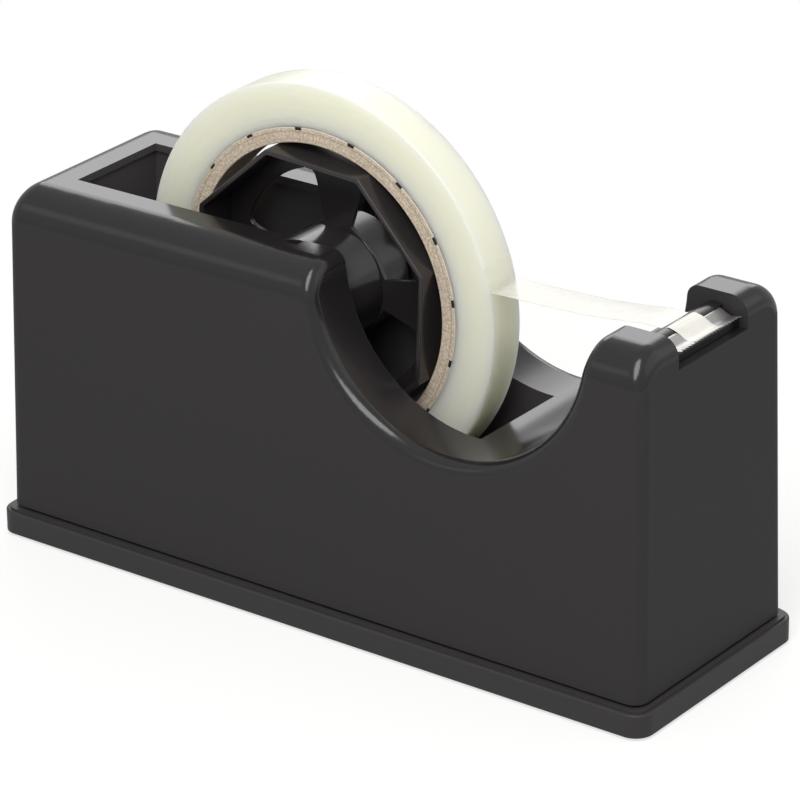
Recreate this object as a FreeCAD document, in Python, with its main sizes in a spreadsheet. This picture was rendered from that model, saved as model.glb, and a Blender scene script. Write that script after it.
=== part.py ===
import FreeCAD, Part
import math
import os
import Sketcher
from FreeCAD import Placement, Rotation, Vector

# Desktop tape dispenser for rolls on a three-inch core.  Millimetres, +Z up, the cutter looks along +X.
# The origin is the middle of the footprint, on the surface that the feet stand on.
# An eight-sided core adapter on a two-part spool turns on an axle, and the axle lies in two open cradles.

SIZES = [
    # name, value, what it is
    ("foot_proud", 0.8, "how far the feet stand below the base plate"),
    ("foot_radius", 6.0, "radius of each foot"),
    ("foot_recess", 0.8, "depth of the seat of each foot"),
    ("foot_inset", 12.5, "from each edge of the base plate to the middle of a foot"),
    ("foot_edge", 0.3, "rounding of each foot's lower edge"),
    ("base_length", 203.0, "base plate along X"),
    ("base_width", 69.5, "base plate along Y"),
    ("base_thickness", 6.1, "edge height of the base plate"),
    ("base_corner", 5.0, "corner radius of the base plate in plan"),
    ("base_edge", 0.5, "rounding of the base plate's upper edge"),
    ("flange", 2.3, "how far the base plate stands out past the housing"),
    ("step_height", 0.6, "height of the step on the base plate"),
    ("step_inset", 1.1, "from the base plate's edge to the step"),
    ("groove_height", 0.8, "height of the shadow groove under the housing"),
    ("groove_inset", 1.5, "depth of the shadow groove, in from the housing's wall"),
    ("draft_angle", 1.0, "lean of the housing's walls, degrees"),
    ("rim_height", 96.8, "top of the rear rim above the table"),
    ("horn_height", 98.3, "top of the two front horns above the table"),
    ("wall", 3.0, "wall thickness of the housing at its top"),
    ("side_skin", 1.0, "extra wall of the long sides at the bottom, from the draft"),
    ("end_skin", 1.6, "extra wall of the ends at the bottom, from the draft"),
    ("corner_round", 4.0, "rounding of the upright corners"),
    ("side_round", 9.5, "rounding of the long upper edges"),
    ("rear_round", 6.0, "rounding of the rear upper edge"),
    ("front_round", 5.0, "rounding of the front upper edge"),
    ("scoop_radius", 40.3, "radius of the scoop between rim and horns"),
    ("scoop_from_front", 59.2, "from the housing's front face to the middle of the scoop"),
    ("scoop_round", 3.5, "rounding of the scoop's edge"),
    ("well_width", 31.4, "clear width of the roll well"),
    ("well_from_rear", 13.1, "from the housing's rear face to the roll well"),
    ("well_past_scoop", 0.8, "from the middle of the scoop to the front wall of the well"),
    ("lip_height", 2.0, "height of the lip round the well's mouth"),
    ("lip_step", 0.8, "how far the lip stands out over the well's walls"),
    ("notch_width", 30.0, "gap between the horns"),
    ("notch_depth", 7.9, "from the top of the horns to the front wall between them"),
    ("axle_behind_scoop", 56.3, "from the middle of the scoop back to the axle"),
    ("axle_below_rim", 16.4, "from the rear rim down to the axle"),
    ("axle_radius", 3.5, "radius of the axle"),
    ("axle_reach", 18.6, "from the middle to each end of the axle"),
    ("axle_chamfer", 0.6, "chamfer at each end of the axle"),
    ("running_fit", 0.1, "radial clearance round the axle"),
    ("cradle_depth", 3.4, "depth of each cradle in the well's wall"),
    ("core_bore", 76.2, "bore of the cardboard core"),
    ("core_wall", 4.0, "wall of the cardboard core"),
    ("tape_outer", 107.4, "outer diameter of the wound tape"),
    ("tape_width", 11.5, "width of the tape"),
    ("strip_thickness", 0.25, "thickness of the free tape"),
    ("strip_gap", 0.3, "clearance between the free tape and what it lies over"),
    ("strip_leave", 12.3, "where the free tape leaves the roll, degrees above the axle"),
    ("adapter_width", 21.0, "width of the eight-sided core adapter"),
    ("adapter_fit", 0.1, "clearance from the adapter's corners to the core"),
    ("adapter_wall", 1.4, "wall of the core adapter"),
    ("web_place", 1.2, "near face of the adapter's web, from the middle plane"),
    ("web_thickness", 1.5, "thickness of the adapter's web"),
    ("window_margin", 4.1, "web left between the adapter's flats and its windows"),
    ("window_bead", 0.3, "web left round the sleeve in a window"),
    ("window_corner", 3.0, "radius of the windows' outer corners"),
    ("sleeve_radius", 14.85, "outer radius of the adapter's sleeve"),
    ("spool_radius", 12.7, "radius of the spool, for a one-inch core"),
    ("spool_width", 24.4, "width of the spool and of the adapter's sleeve"),
    ("spool_wall", 1.6, "wall of the spool"),
    ("spool_web", 1.5, "thickness of each spool half's web"),
    ("bearing_wall", 1.8, "wall of the spool's bearing round the axle"),
    ("bearing_inset", 1.0, "from the spool's end to its bearing"),
    ("push_fit", 0.05, "clearance between parts pressed together"),
    ("block_length", 13.6, "cutter block along X"),
    ("block_from_front", 4.0, "from the housing's front face to the cutter block"),
    ("block_depth", 7.5, "how far the cutter block goes down below the notch floor"),
    ("block_rise", 0.6, "height of the block's rear edge above the notch floor"),
    ("block_fit", 0.15, "clearance round the cutter block"),
    ("ridge_back", 6.7, "from the cutter block's front face back to the tape ridge"),
    ("ridge_rise", 5.2, "top of the tape ridge above the notch floor"),
    ("ridge_radius", 4.5, "radius of the tape ridge"),
    ("slot_ahead", 2.0, "from the middle of the ridge to the blade's slot"),
    ("blade_width", 26.0, "width of the blade"),
    ("blade_thickness", 0.6, "thickness of the blade"),
    ("blade_leg", 5.0, "length of the blade's leg in the slot"),
    ("blade_fold", 4.6, "top of the blade's fold above the notch floor"),
    ("blade_valley", 3.2, "lowest line of the blade's top face above the notch floor"),
    ("valley_back", 1.0, "from the cutter block's front face back to that line"),
    ("tip_ahead", 2.0, "from the cutter block's front face to the points of the teeth"),
    ("tip_rise", 3.9, "points of the teeth above the notch floor"),
    ("tip_thickness", 0.1, "thickness left at the points of the teeth"),
    ("tooth_pitch", 1.3, "spacing of the teeth"),
    ("tooth_depth", 1.2, "depth of the teeth"),
    ("tooth_margin", 0.4, "plain strip of blade left at each end of the row"),
    ("screw_radius", 1.7, "shank radius of the base screws"),
    ("screw_head", 3.2, "head radius of the base screws"),
    ("screw_head_height", 2.5, "height of the screw heads"),
    ("screw_length", 14.0, "length of the base screws under the head"),
    ("screw_seat", 2.6, "base plate left over the screw heads"),
    ("screw_slot", 4.8, "length of the slot in each screw head"),
    ("boss_radius", 5.6, "radius of the screw bosses"),
    ("boss_height", 18.0, "height of the screw bosses"),
    ("boss_skin", 2.0, "plastic left over the end of each screw hole"),
    ("screw_inset_x", 24.5, "from each end of the base plate to the screws"),
    ("screw_inset_y", 11.15, "from each side of the base plate to the screws"),
    ("hole_fit", 0.2, "clearance round the screws and feet in the base plate"),
    ("weight_drop", 12.0, "from the hollow's ceiling down to the top of the weights"),
    ("weight_gap", 0.5, "clearance round the weights"),
    ("weight_chamfer", 0.8, "chamfer of the weights"),
    ("ceiling_skin", 4.5, "plastic between the scoop and the hollow under it"),
    ("rim_skin", 14.8, "plastic between the rear rim and the hollow under it"),
]

ADAPTER_SIDES = 8
ADAPTER_TURN = -2.8        # degrees from flats that are level and upright to how the adapter stands
SPOKES = 4                 # spokes of the adapter's web, each behind the middle of a flat
SPOKE_SPREAD = 15.2        # degrees from a spoke's middle to its edge
STRIP_RISE = [(0.33, 0.20), (0.55, 0.38), (0.86, 0.86)]     # shares of the free tape's run and rise
BEYOND = 30.0              # how far cutting tools run past what they cut
OVERLAP = 0.2              # how far joined features run into one another
NEAR_ZERO = 0.01           # tolerance when an edge is chosen by its place


class Size:
    """A length together with its formula over the sheet's cells, so that one sum gives both."""

    def __init__(self, value, text):
        self.value = float(value)
        self.text = text

    @staticmethod
    def of(other):
        return other if isinstance(other, Size) else Size(other, repr(float(other)))

    def join(self, sign, other, value):
        return Size(value, "(%s %s %s)" % (self.text, sign, Size.of(other).text))

    def __add__(self, other):
        return self.join("+", other, self.value + Size.of(other).value)

    def __sub__(self, other):
        return self.join("-", other, self.value - Size.of(other).value)

    def __mul__(self, other):
        return self.join("*", other, self.value * Size.of(other).value)

    def __truediv__(self, other):
        return self.join("/", other, self.value / Size.of(other).value)

    def __neg__(self):
        return Size(-self.value, "(-1 * %s)" % self.text)


doc = FreeCAD.newDocument("tape_dispenser")


def make_sheet():
    """The driving dimensions, one row each: name, value and a note."""
    sheet = doc.addObject("Spreadsheet::Sheet", "sizes")
    for row, (alias, value, note) in enumerate(SIZES, start=1):
        sheet.set("A%d" % row, alias)
        sheet.set("B%d" % row, str(value))
        sheet.setAlias("B%d" % row, alias)
        sheet.set("C%d" % row, note)
    doc.recompute()
    return {alias: Size(sheet.get(alias), "sizes.%s" % alias) for alias, value, note in SIZES}


s = make_sheet()

# Heights and places that several pieces share.
base_top = s["foot_proud"] + s["base_thickness"]
step_top = base_top + s["step_height"]
housing_bottom = step_top + s["groove_height"]
housing_half_x = s["base_length"] / 2 - s["flange"]
housing_half_y = s["base_width"] / 2 - s["flange"]
hollow_half_x = housing_half_x - s["wall"] - s["end_skin"]
hollow_half_y = housing_half_y - s["wall"] - s["side_skin"]
scoop_x = housing_half_x - s["scoop_from_front"]
well_rear = s["well_from_rear"] - housing_half_x
well_front = scoop_x + s["well_past_scoop"]
well_half = s["well_width"] / 2
well_wall_half = well_half + s["lip_step"] + s["wall"]
axle_x = scoop_x - s["axle_behind_scoop"]
axle_z = s["rim_height"] - s["axle_below_rim"]
core_radius = s["core_bore"] / 2
core_outer = core_radius + s["core_wall"]
tape_radius = s["tape_outer"] / 2
adapter_corner = core_radius - s["adapter_fit"]
notch_floor = s["horn_height"] - s["notch_depth"]
block_front = housing_half_x - s["block_from_front"]
block_rear = block_front - s["block_length"]
ridge_x = block_front - s["ridge_back"]
ridge_top = notch_floor + s["ridge_rise"]
valley_x = block_front - s["valley_back"]
tip_x = block_front + s["tip_ahead"]
tip_z = notch_floor + s["tip_rise"]
low_ceiling = s["rim_height"] - s["scoop_radius"] - s["ceiling_skin"]
high_ceiling = s["rim_height"] - s["rim_skin"]
screw_seat_z = base_top - s["screw_seat"]
screw_x = s["base_length"] / 2 - s["screw_inset_x"]
screw_y = s["base_width"] / 2 - s["screw_inset_y"]
foot_x = s["base_length"] / 2 - s["foot_inset"]
foot_y = s["base_width"] / 2 - s["foot_inset"]


# ---------------------------------------------------------------- helpers

def bind(thing, **values):
    """Set properties from sizes: the sum goes in as an expression, a plain number as itself."""
    for name, value in values.items():
        if isinstance(value, Size):
            setattr(thing, name, value.value)
            thing.setExpression(name, value.text)
        else:
            setattr(thing, name, value)
    return thing


def place(thing, x=0.0, y=0.0, z=0.0, axis=Vector(0, 0, 1), angle=0.0):
    """Give an object its place; each coordinate that is a size stays bound to it."""
    at = [Size.of(value) for value in (x, y, z)]
    thing.Placement = Placement(Vector(*[value.value for value in at]), Rotation(axis, angle))
    for letter, value in zip("xyz", at):
        thing.setExpression("Placement.Base.%s" % letter, value.text)
    return thing


def box(name, x, y, z):
    """A box between two bounds along each axis."""
    part = doc.addObject("Part::Box", name)
    low = [Size.of(pair[0]) for pair in (x, y, z)]
    high = [Size.of(pair[1]) for pair in (x, y, z)]
    bind(part, Length=high[0] - low[0], Width=high[1] - low[1], Height=high[2] - low[2])
    return place(part, *low)


def cylinder(name, radius, length, x=0.0, y=0.0, z=0.0, along="z"):
    """A cylinder from a point, along +Z or along +Y."""
    part = doc.addObject("Part::Cylinder", name)
    bind(part, Radius=Size.of(radius), Height=Size.of(length))
    if along == "y":
        return place(part, x, y, z, Vector(1, 0, 0), -90.0)
    return place(part, x, y, z)


def fuse(name, parts):
    """Several solids joined into one, with the lines between coplanar faces removed."""
    joined = doc.addObject("Part::MultiFuse", name)
    joined.Shapes = parts
    joined.Refine = True
    return joined


def cut(name, base, tool):
    result = doc.addObject("Part::Cut", name)
    result.Base = base
    result.Tool = tool
    return result


def fillet(name, base, choices):
    """Round edges of a solid: each choice is a test on an edge and a radius."""
    doc.recompute()
    edges = []
    for number, edge in enumerate(base.Shape.Edges, start=1):
        for wanted, radius in choices:
            if wanted(edge):
                edges.append((number, Size.of(radius).value, Size.of(radius).value))
                break
    rounded = doc.addObject("Part::Fillet", name)
    rounded.Base = base
    rounded.Edges = edges
    return rounded


def body(name):
    return doc.addObject("PartDesign::Body", name)


def sketch_on(owner, name, plane, offset=0.0):
    """A sketch on one of its own body's origin planes, moved along the plane's normal."""
    sketch = owner.newObject("Sketcher::SketchObject", name)
    feature = [item for item in owner.Origin.OriginFeatures if item.Role == plane][0]
    sketch.AttachmentSupport = (feature, "")
    sketch.MapMode = "FlatFace"
    move = Size.of(offset)
    sketch.AttachmentOffset = Placement(Vector(0, 0, move.value), Rotation())
    sketch.setExpression("AttachmentOffset.Base.z", move.text)
    return sketch


def fix_point(sketch, item, end, x, y):
    """Hold one point of a sketch at a place from the origin, bound to sizes."""
    for kind, value in (("DistanceX", Size.of(x)), ("DistanceY", Size.of(y))):
        number = sketch.addConstraint(Sketcher.Constraint(kind, -1, 1, item, end, value.value))
        sketch.setExpression("Constraints[%d]" % number, value.text)


def outline(sketch, points):
    """A closed outline of straight lines through points given as sizes."""
    spots = [(Size.of(x), Size.of(y)) for x, y in points]
    corners = [Vector(x.value, y.value, 0) for x, y in spots]
    count = len(corners)
    lines = []
    for index in range(count):
        line = Part.LineSegment(corners[index], corners[(index + 1) % count])
        lines.append(sketch.addGeometry(line, False))
    for index in range(count):
        following = lines[(index + 1) % count]
        sketch.addConstraint(Sketcher.Constraint("Coincident", lines[index], 2, following, 1))
    for line, (x, y) in zip(lines, spots):
        fix_point(sketch, line, 1, x, y)
    return sketch


def rectangle(sketch, x, y):
    """A rectangle between two bounds along each of the sketch's axes."""
    return outline(sketch, [(x[0], y[0]), (x[1], y[0]), (x[1], y[1]), (x[0], y[1])])


def rounded_rectangle(sketch, half_x, half_y, corner):
    """A rectangle about the origin whose corners are arcs, all of it bound to sizes."""
    quarter = math.pi / 2
    turns = [(1, -1, -quarter), (1, 1, 0.0), (-1, 1, quarter), (-1, -1, quarter * 2)]
    arcs = []
    for right, up, start in turns:
        middle = Vector(right * (half_x - corner).value, up * (half_y - corner).value, 0)
        round_part = Part.Circle(middle, Vector(0, 0, 1), corner.value)
        arc = sketch.addGeometry(Part.ArcOfCircle(round_part, start, start + quarter), False)
        arcs.append(arc)
        fix_point(sketch, arc, 3, (half_x - corner) * right, (half_y - corner) * up)
    for index, arc in enumerate(arcs):
        following = arcs[(index + 1) % len(arcs)]
        ends = [sketch.getPoint(arc, 2), sketch.getPoint(following, 1)]
        side = sketch.addGeometry(Part.LineSegment(*ends), False)
        sketch.addConstraint(Sketcher.Constraint("Tangent", arc, 2, side, 1))
        sketch.addConstraint(Sketcher.Constraint("Tangent", side, 2, following, 1))
    number = sketch.addConstraint(Sketcher.Constraint("Radius", arcs[0], corner.value))
    sketch.setExpression("Constraints[%d]" % number, corner.text)
    for arc in arcs[1:]:
        sketch.addConstraint(Sketcher.Constraint("Equal", arcs[0], arc))
    return sketch


def circle(sketch, radius, x=0.0, y=0.0):
    """A circle whose middle and radius are bound to sizes."""
    size = Size.of(radius)
    middle = Vector(Size.of(x).value, Size.of(y).value, 0)
    ring = sketch.addGeometry(Part.Circle(middle, Vector(0, 0, 1), size.value), False)
    number = sketch.addConstraint(Sketcher.Constraint("Radius", ring, size.value))
    sketch.setExpression("Constraints[%d]" % number, size.text)
    fix_point(sketch, ring, 3, x, y)
    return sketch


def pad(owner, name, profile, length, both_ways=False, reverse=False):
    feature = owner.newObject("PartDesign::Pad", name)
    feature.Profile = profile
    bind(feature, Length=Size.of(length), Midplane=both_ways, Reversed=reverse)
    profile.Visibility = False
    return feature


def pocket(owner, name, profile, length, both_ways=False, reverse=False):
    feature = owner.newObject("PartDesign::Pocket", name)
    feature.Profile = profile
    bind(feature, Length=Size.of(length), Midplane=both_ways, Reversed=reverse)
    profile.Visibility = False
    return feature


def round_edges(owner, name, feature, radius, wanted):
    """A PartDesign fillet on the edges of a feature that pass a test."""
    doc.recompute()
    names = []
    for number, edge in enumerate(feature.Shape.Edges, start=1):
        if wanted(edge):
            names.append("Edge%d" % number)
    rounded = owner.newObject("PartDesign::Fillet", name)
    rounded.Base = (feature, names)
    bind(rounded, Radius=Size.of(radius))
    return rounded


def level(edge, z):
    """Whether an edge lies in one level plane."""
    bounds = edge.BoundBox
    return abs(bounds.ZMin - z) < NEAR_ZERO and abs(bounds.ZMax - z) < NEAR_ZERO


# ---------------------------------------------------------------- base

def tier(owner, name, inset, corner, bottom, height):
    """One tier of the base plate: a rectangle with round corners, inset from the edge."""
    sketch = sketch_on(owner, name + "_outline", "XY_Plane", bottom)
    rounded_rectangle(sketch, s["base_length"] / 2 - inset, s["base_width"] / 2 - inset, corner)
    return pad(owner, name + "_tier", sketch, height)


def four_circles(sketch, radius, x, y):
    """The same circle at the four places mirrored about both axes."""
    for along in (x, -x):
        for across in (y, -y):
            circle(sketch, radius, along, across)
    return sketch


def make_base_plate():
    """A plate in three tiers, the edge, a small step, and the platform inside the shadow groove."""
    owner = body("base_plate")
    tier(owner, "edge", Size.of(0.0), s["base_corner"], s["foot_proud"], s["base_thickness"])
    tier(owner, "step", s["step_inset"], s["base_corner"] - s["step_inset"], base_top, s["step_height"])
    platform_inset = s["flange"] + s["groove_inset"]
    platform_corner = s["base_corner"] - s["groove_inset"]
    last = tier(owner, "platform", platform_inset, platform_corner, step_top, s["groove_height"])
    end_x = s["base_length"].value / 2 - NEAR_ZERO
    side_y = s["base_width"].value / 2 - NEAR_ZERO

    def rim_of_plate(edge):
        bounds = edge.BoundBox
        at_end = max(abs(bounds.XMin), abs(bounds.XMax)) > end_x
        at_side = max(abs(bounds.YMin), abs(bounds.YMax)) > side_y
        return level(edge, base_top.value) and (at_end or at_side)

    round_edges(owner, "rim_round", last, s["base_edge"], rim_of_plate)
    seats = sketch_on(owner, "foot_seats", "XY_Plane", s["foot_proud"])
    four_circles(seats, s["foot_radius"] + s["hole_fit"] / 2, foot_x, foot_y)
    pocket(owner, "foot_seat_cut", seats, s["foot_recess"], reverse=True)
    heads = sketch_on(owner, "screw_heads", "XY_Plane", s["foot_proud"])
    four_circles(heads, s["screw_head"] + s["hole_fit"], screw_x, screw_y)
    pocket(owner, "screw_head_cut", heads, s["base_thickness"] - s["screw_seat"], reverse=True)
    holes = sketch_on(owner, "screw_holes", "XY_Plane", s["foot_proud"])
    four_circles(holes, s["screw_radius"] + s["hole_fit"], screw_x, screw_y)
    pocket(owner, "screw_hole_cut", holes, s["base_thickness"] * 2, reverse=True)
    owner.Label = "base_plate"
    return [owner]


def make_feet():
    """Four rubber discs, pressed into their seats and standing a little proud."""
    feet = []
    for end, along in (("rear", -foot_x), ("front", foot_x)):
        for side, across in (("near", -foot_y), ("far", foot_y)):
            name = "foot_%s_%s" % (end, side)
            owner = body(name)
            sketch = circle(sketch_on(owner, name + "_outline", "XY_Plane"), s["foot_radius"])
            disc = pad(owner, name + "_disc", sketch, s["foot_proud"] + s["foot_recess"])
            round_edges(owner, name + "_edge", disc, s["foot_edge"], lambda edge: level(edge, 0.0))
            owner.Label = name
            place(owner, along, across, 0.0)
            feet.append(owner)
    return feet


def screw_spots():
    """The places of the four base screws, numbered."""
    spots = [(along, across) for along in (-screw_x, screw_x) for across in (-screw_y, screw_y)]
    return list(enumerate(spots, start=1))


def make_base_screws():
    """Four pan-head screws from below, up into the housing's bosses; one node for the set."""
    head_bottom = screw_seat_z - s["screw_head_height"]
    half_long = s["screw_slot"] / 2
    half_thin = half_long / 6
    screws = []
    for number, (x, y) in screw_spots():
        head_height = s["screw_head_height"]
        head = cylinder("screw_head_%d" % number, s["screw_head"], head_height, x, y, head_bottom)
        length = s["screw_length"]
        shank = cylinder("screw_shank_%d" % number, s["screw_radius"], length, x, y, screw_seat_z)
        slot = box("screw_slot_%d" % number, (x - half_long, x + half_long), (y - half_thin, y + half_thin),
                   (0.0, head_bottom + s["screw_head_height"] / 2))
        screws.append(cut("screw_%d" % number, fuse("screw_blank_%d" % number, [head, shank]), slot))
    group = doc.addObject("Part::Compound", "base_screws")
    group.Links = screws
    group.Label = "base_screws"
    return [group]


# ---------------------------------------------------------------- housing

def top_height(x):
    """Height of the housing's sloping top plane above the table at a place along X."""
    rise = (s["horn_height"] - s["rim_height"]) / (ridge_x - well_rear)
    return s["rim_height"] + rise * (Size.of(x) - well_rear)


def make_outer_block():
    """The housing's outside before the scoop: drafted walls, a gently rising top, rounded edges."""
    owner = body("housing_block")
    plan = sketch_on(owner, "plan", "XY_Plane", housing_bottom)
    rectangle(plan, (-housing_half_x, housing_half_x), (-housing_half_y, housing_half_y))
    above = s["horn_height"] + BEYOND
    walls = pad(owner, "drafted_walls", plan, above - housing_bottom)
    walls.TaperAngle = -s["draft_angle"].value
    walls.setExpression("TaperAngle", (-s["draft_angle"]).text)
    side = sketch_on(owner, "top_line", "XZ_Plane")
    far = housing_half_x + BEYOND
    outline(side, [(-far, top_height(-far)), (far, top_height(far)), (far, above * 2), (-far, above * 2)])
    pocket(owner, "above_top", side, s["base_width"] * 2, both_ways=True)
    middle = s["rim_height"].value / 2

    def corner_edge(edge):
        return edge.BoundBox.ZLength > middle

    def long_edge(edge):
        return edge.BoundBox.ZMin > middle and edge.BoundBox.XLength > middle

    def rear_edge(edge):
        return edge.BoundBox.ZMin > middle and edge.BoundBox.XMax < 0.0

    def front_edge(edge):
        return edge.BoundBox.ZMin > middle and edge.BoundBox.XMin > 0.0

    return fillet("rounded_block", owner, [
        (corner_edge, s["corner_round"]),
        (long_edge, s["side_round"]),
        (rear_edge, s["rear_round"]),
        (front_edge, s["front_round"]),
    ])


def make_scooped_block(block):
    """The round scoop across the housing, centred on its top plane, with its whole edge rounded."""
    half = housing_half_y + BEYOND
    centre_z = top_height(scoop_x)
    radius = s["scoop_radius"]
    drum = cylinder("scoop_drum", radius, half * 2, scoop_x, -half, centre_z, along="y")
    above = box("scoop_above", (scoop_x - radius, scoop_x + radius), (-half, half),
                (centre_z, centre_z + BEYOND))
    scooped = cut("scooped_block", block, fuse("scoop", [drum, above]))
    near = NEAR_ZERO * 5

    def on_scoop(edge):
        for point in edge.discretize(5):
            away = point.x - scoop_x.value
            drop = point.z - centre_z.value
            on_drum = abs(math.hypot(away, drop) - radius.value) < near
            on_side = abs(abs(away) - radius.value) < near and drop > -near
            if not (on_drum or on_side):
                return False
        return True

    return fillet("edged_block", scooped, [(on_scoop, s["scoop_round"])])


def make_hollow():
    """The space inside the walls, open below: round the roll well, and clear of the screw bosses."""
    across = (-hollow_half_y, hollow_half_y)
    low = box("hollow_low", (-hollow_half_x, hollow_half_x), across, (0.0, low_ceiling))
    high = box("hollow_high", (-hollow_half_x, axle_x - s["axle_radius"] * 4), across, (0.0, high_ceiling))
    horn_rear = scoop_x + s["scoop_radius"] + s["wall"]
    horn_front = hollow_half_x - s["wall"] / 2
    horn_ceiling = notch_floor - s["block_depth"] - s["wall"]
    front = box("hollow_front", (horn_rear, horn_front), across, (0.0, horn_ceiling))
    keep = [box("well_walls", (well_rear - s["lip_step"] - s["wall"], well_front + s["wall"]),
                (-well_wall_half, well_wall_half), (0.0, s["rim_height"]))]
    for number, (x, y) in screw_spots():
        boss_top = housing_bottom + s["boss_height"]
        keep.append(cylinder("boss_%d" % number, s["boss_radius"], boss_top, x, y, 0.0))
    return cut("hollow", fuse("hollow_space", [low, high, front]), fuse("hollow_keep", keep))


def make_well():
    """The roll well: its mouth, and behind the scoop the slightly wider space under the lip."""
    mouth = box("well_mouth", (well_rear, well_front), (-well_half, well_half),
                (0.0, s["rim_height"] + BEYOND))
    wide = well_half + s["lip_step"]
    under = box("well_under_lip", (well_rear - s["lip_step"], scoop_x - s["scoop_radius"] - s["wall"] * 2),
                (-wide, wide), (0.0, s["rim_height"] - s["lip_height"]))
    return [mouth, under]


def make_cradles():
    """Two U-shaped slots, open at the top, one in each wall of the well, for the ends of the axle."""
    radius = s["axle_radius"] + s["running_fit"]
    reach = well_half + s["cradle_depth"]
    bottom = cylinder("cradle_bottom", radius, reach * 2, axle_x, -reach, axle_z, along="y")
    throat = box("cradle_throat", (axle_x - radius, axle_x + radius), (-reach, reach),
                 (axle_z, s["rim_height"] + BEYOND))
    return [bottom, throat]


def make_notch():
    """The gap between the horns and the pocket for the cutter block below it."""
    half = s["notch_width"] / 2
    gap = box("notch_gap", (scoop_x + s["scoop_radius"] / 2, housing_half_x + BEYOND), (-half, half),
              (notch_floor, s["horn_height"] + BEYOND))
    seat = box("block_seat", (block_rear - s["block_fit"], block_front + s["block_fit"]), (-half, half),
               (notch_floor - s["block_depth"], notch_floor + OVERLAP))
    return [gap, seat]


def make_pilots():
    """Blind holes in the bosses, that the screws are driven into."""
    depth = housing_bottom + s["boss_height"] - s["boss_skin"]
    radius = s["screw_radius"] + s["push_fit"]
    return [cylinder("pilot_%d" % number, radius, depth, x, y, 0.0) for number, (x, y) in screw_spots()]


def make_housing():
    """One moulded shell: rounded outside, scoop, roll well, cradles, cutter notch and bosses."""
    outside = make_scooped_block(make_outer_block())
    tools = [make_hollow()] + make_well() + make_cradles() + make_notch() + make_pilots()
    inside = doc.addObject("Part::MultiFuse", "housing_cuts")
    inside.Shapes = tools
    housing = cut("housing", outside, inside)
    housing.Label = "housing"
    return [housing]


# ---------------------------------------------------------------- weights

def make_weight(name, x, y):
    """One iron bar standing on the base plate inside the hollow, with chamfered edges."""
    owner = body(name)
    sketch = sketch_on(owner, name + "_outline", "XY_Plane", housing_bottom)
    rectangle(sketch, x, y)
    bar = pad(owner, name + "_bar", sketch, low_ceiling - s["weight_drop"])
    doc.recompute()
    chamfer = owner.newObject("PartDesign::Chamfer", name + "_edges")
    chamfer.Base = (bar, ["Edge%d" % number for number in range(1, len(bar.Shape.Edges) + 1)])
    bind(chamfer, Size=s["weight_chamfer"])
    owner.Label = name
    return owner


def make_weights():
    """Two long bars beside the well and a short one under the scoop."""
    inner = well_wall_half + s["weight_gap"]
    outer = hollow_half_y - s["weight_gap"]
    rear = s["boss_radius"] + s["weight_gap"] * 2 - screw_x
    front = well_front - s["weight_gap"]
    short_rear = well_front + s["wall"] + s["weight_gap"]
    short_front = screw_x - s["boss_radius"] - s["weight_gap"]
    return [
        make_weight("weight_near", (rear, front), (-outer, -inner)),
        make_weight("weight_far", (rear, front), (inner, outer)),
        make_weight("weight_front", (short_rear, short_front), (-outer, outer)),
    ]


# ---------------------------------------------------------------- cutter

def blade_places():
    """Where the blade's leg stands in its slot, and the heights of its fold and its valley."""
    slot_rear = ridge_x + s["slot_ahead"]
    leg_rear = slot_rear + s["push_fit"]
    leg_front = leg_rear + s["blade_thickness"]
    slot_front = leg_front + s["push_fit"]
    fold_top = notch_floor + s["blade_fold"]
    valley_top = notch_floor + s["blade_valley"]
    return slot_rear, leg_rear, leg_front, slot_front, fold_top, valley_top


def make_cutter_block():
    """A moulded block across the notch, with a round ridge for the tape and the blade's slot and seat."""
    owner = body("cutter_block")
    slot_rear, leg_rear, leg_front, slot_front, fold_top, valley_top = blade_places()
    half = s["notch_width"] / 2 - s["block_fit"]
    bottom = notch_floor - s["block_depth"] + s["block_fit"]
    ridge_z = ridge_top - s["ridge_radius"]
    seat_z = valley_top - s["blade_thickness"]
    fold_z = fold_top - s["blade_thickness"] - s["push_fit"]
    side = outline(sketch_on(owner, "side", "XZ_Plane"), [
        (block_rear, bottom),
        (block_front, bottom),
        (block_front, seat_z),
        (valley_x, seat_z),
        (slot_front, fold_z),
        (ridge_x, fold_z),
        (ridge_x - s["ridge_radius"], ridge_z),
        (block_rear, notch_floor + s["block_rise"]),
    ])
    pad(owner, "block", side, half * 2, both_ways=True)
    ridge = circle(sketch_on(owner, "ridge_round", "XZ_Plane"), s["ridge_radius"], ridge_x, ridge_z)
    pad(owner, "ridge", ridge, half * 2, both_ways=True)
    past = s["valley_back"] * 2
    seat = outline(sketch_on(owner, "blade_seat", "XZ_Plane"), [
        (slot_rear, fold_z),
        (slot_front, fold_z),
        (valley_x, seat_z),
        (block_front + past, seat_z),
        (block_front + past, ridge_top + past),
        (slot_rear, ridge_top + past),
    ])
    pocket(owner, "seat_cut", seat, s["notch_width"] * 2, both_ways=True)
    slot = rectangle(sketch_on(owner, "blade_slot", "XZ_Plane"), (slot_rear, slot_front),
                     (fold_top - s["blade_leg"] - OVERLAP, fold_top))
    pocket(owner, "slot_cut", slot, s["blade_width"] + s["block_fit"] * 2, both_ways=True)
    owner.Label = "cutter_block"
    return [owner]


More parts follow.
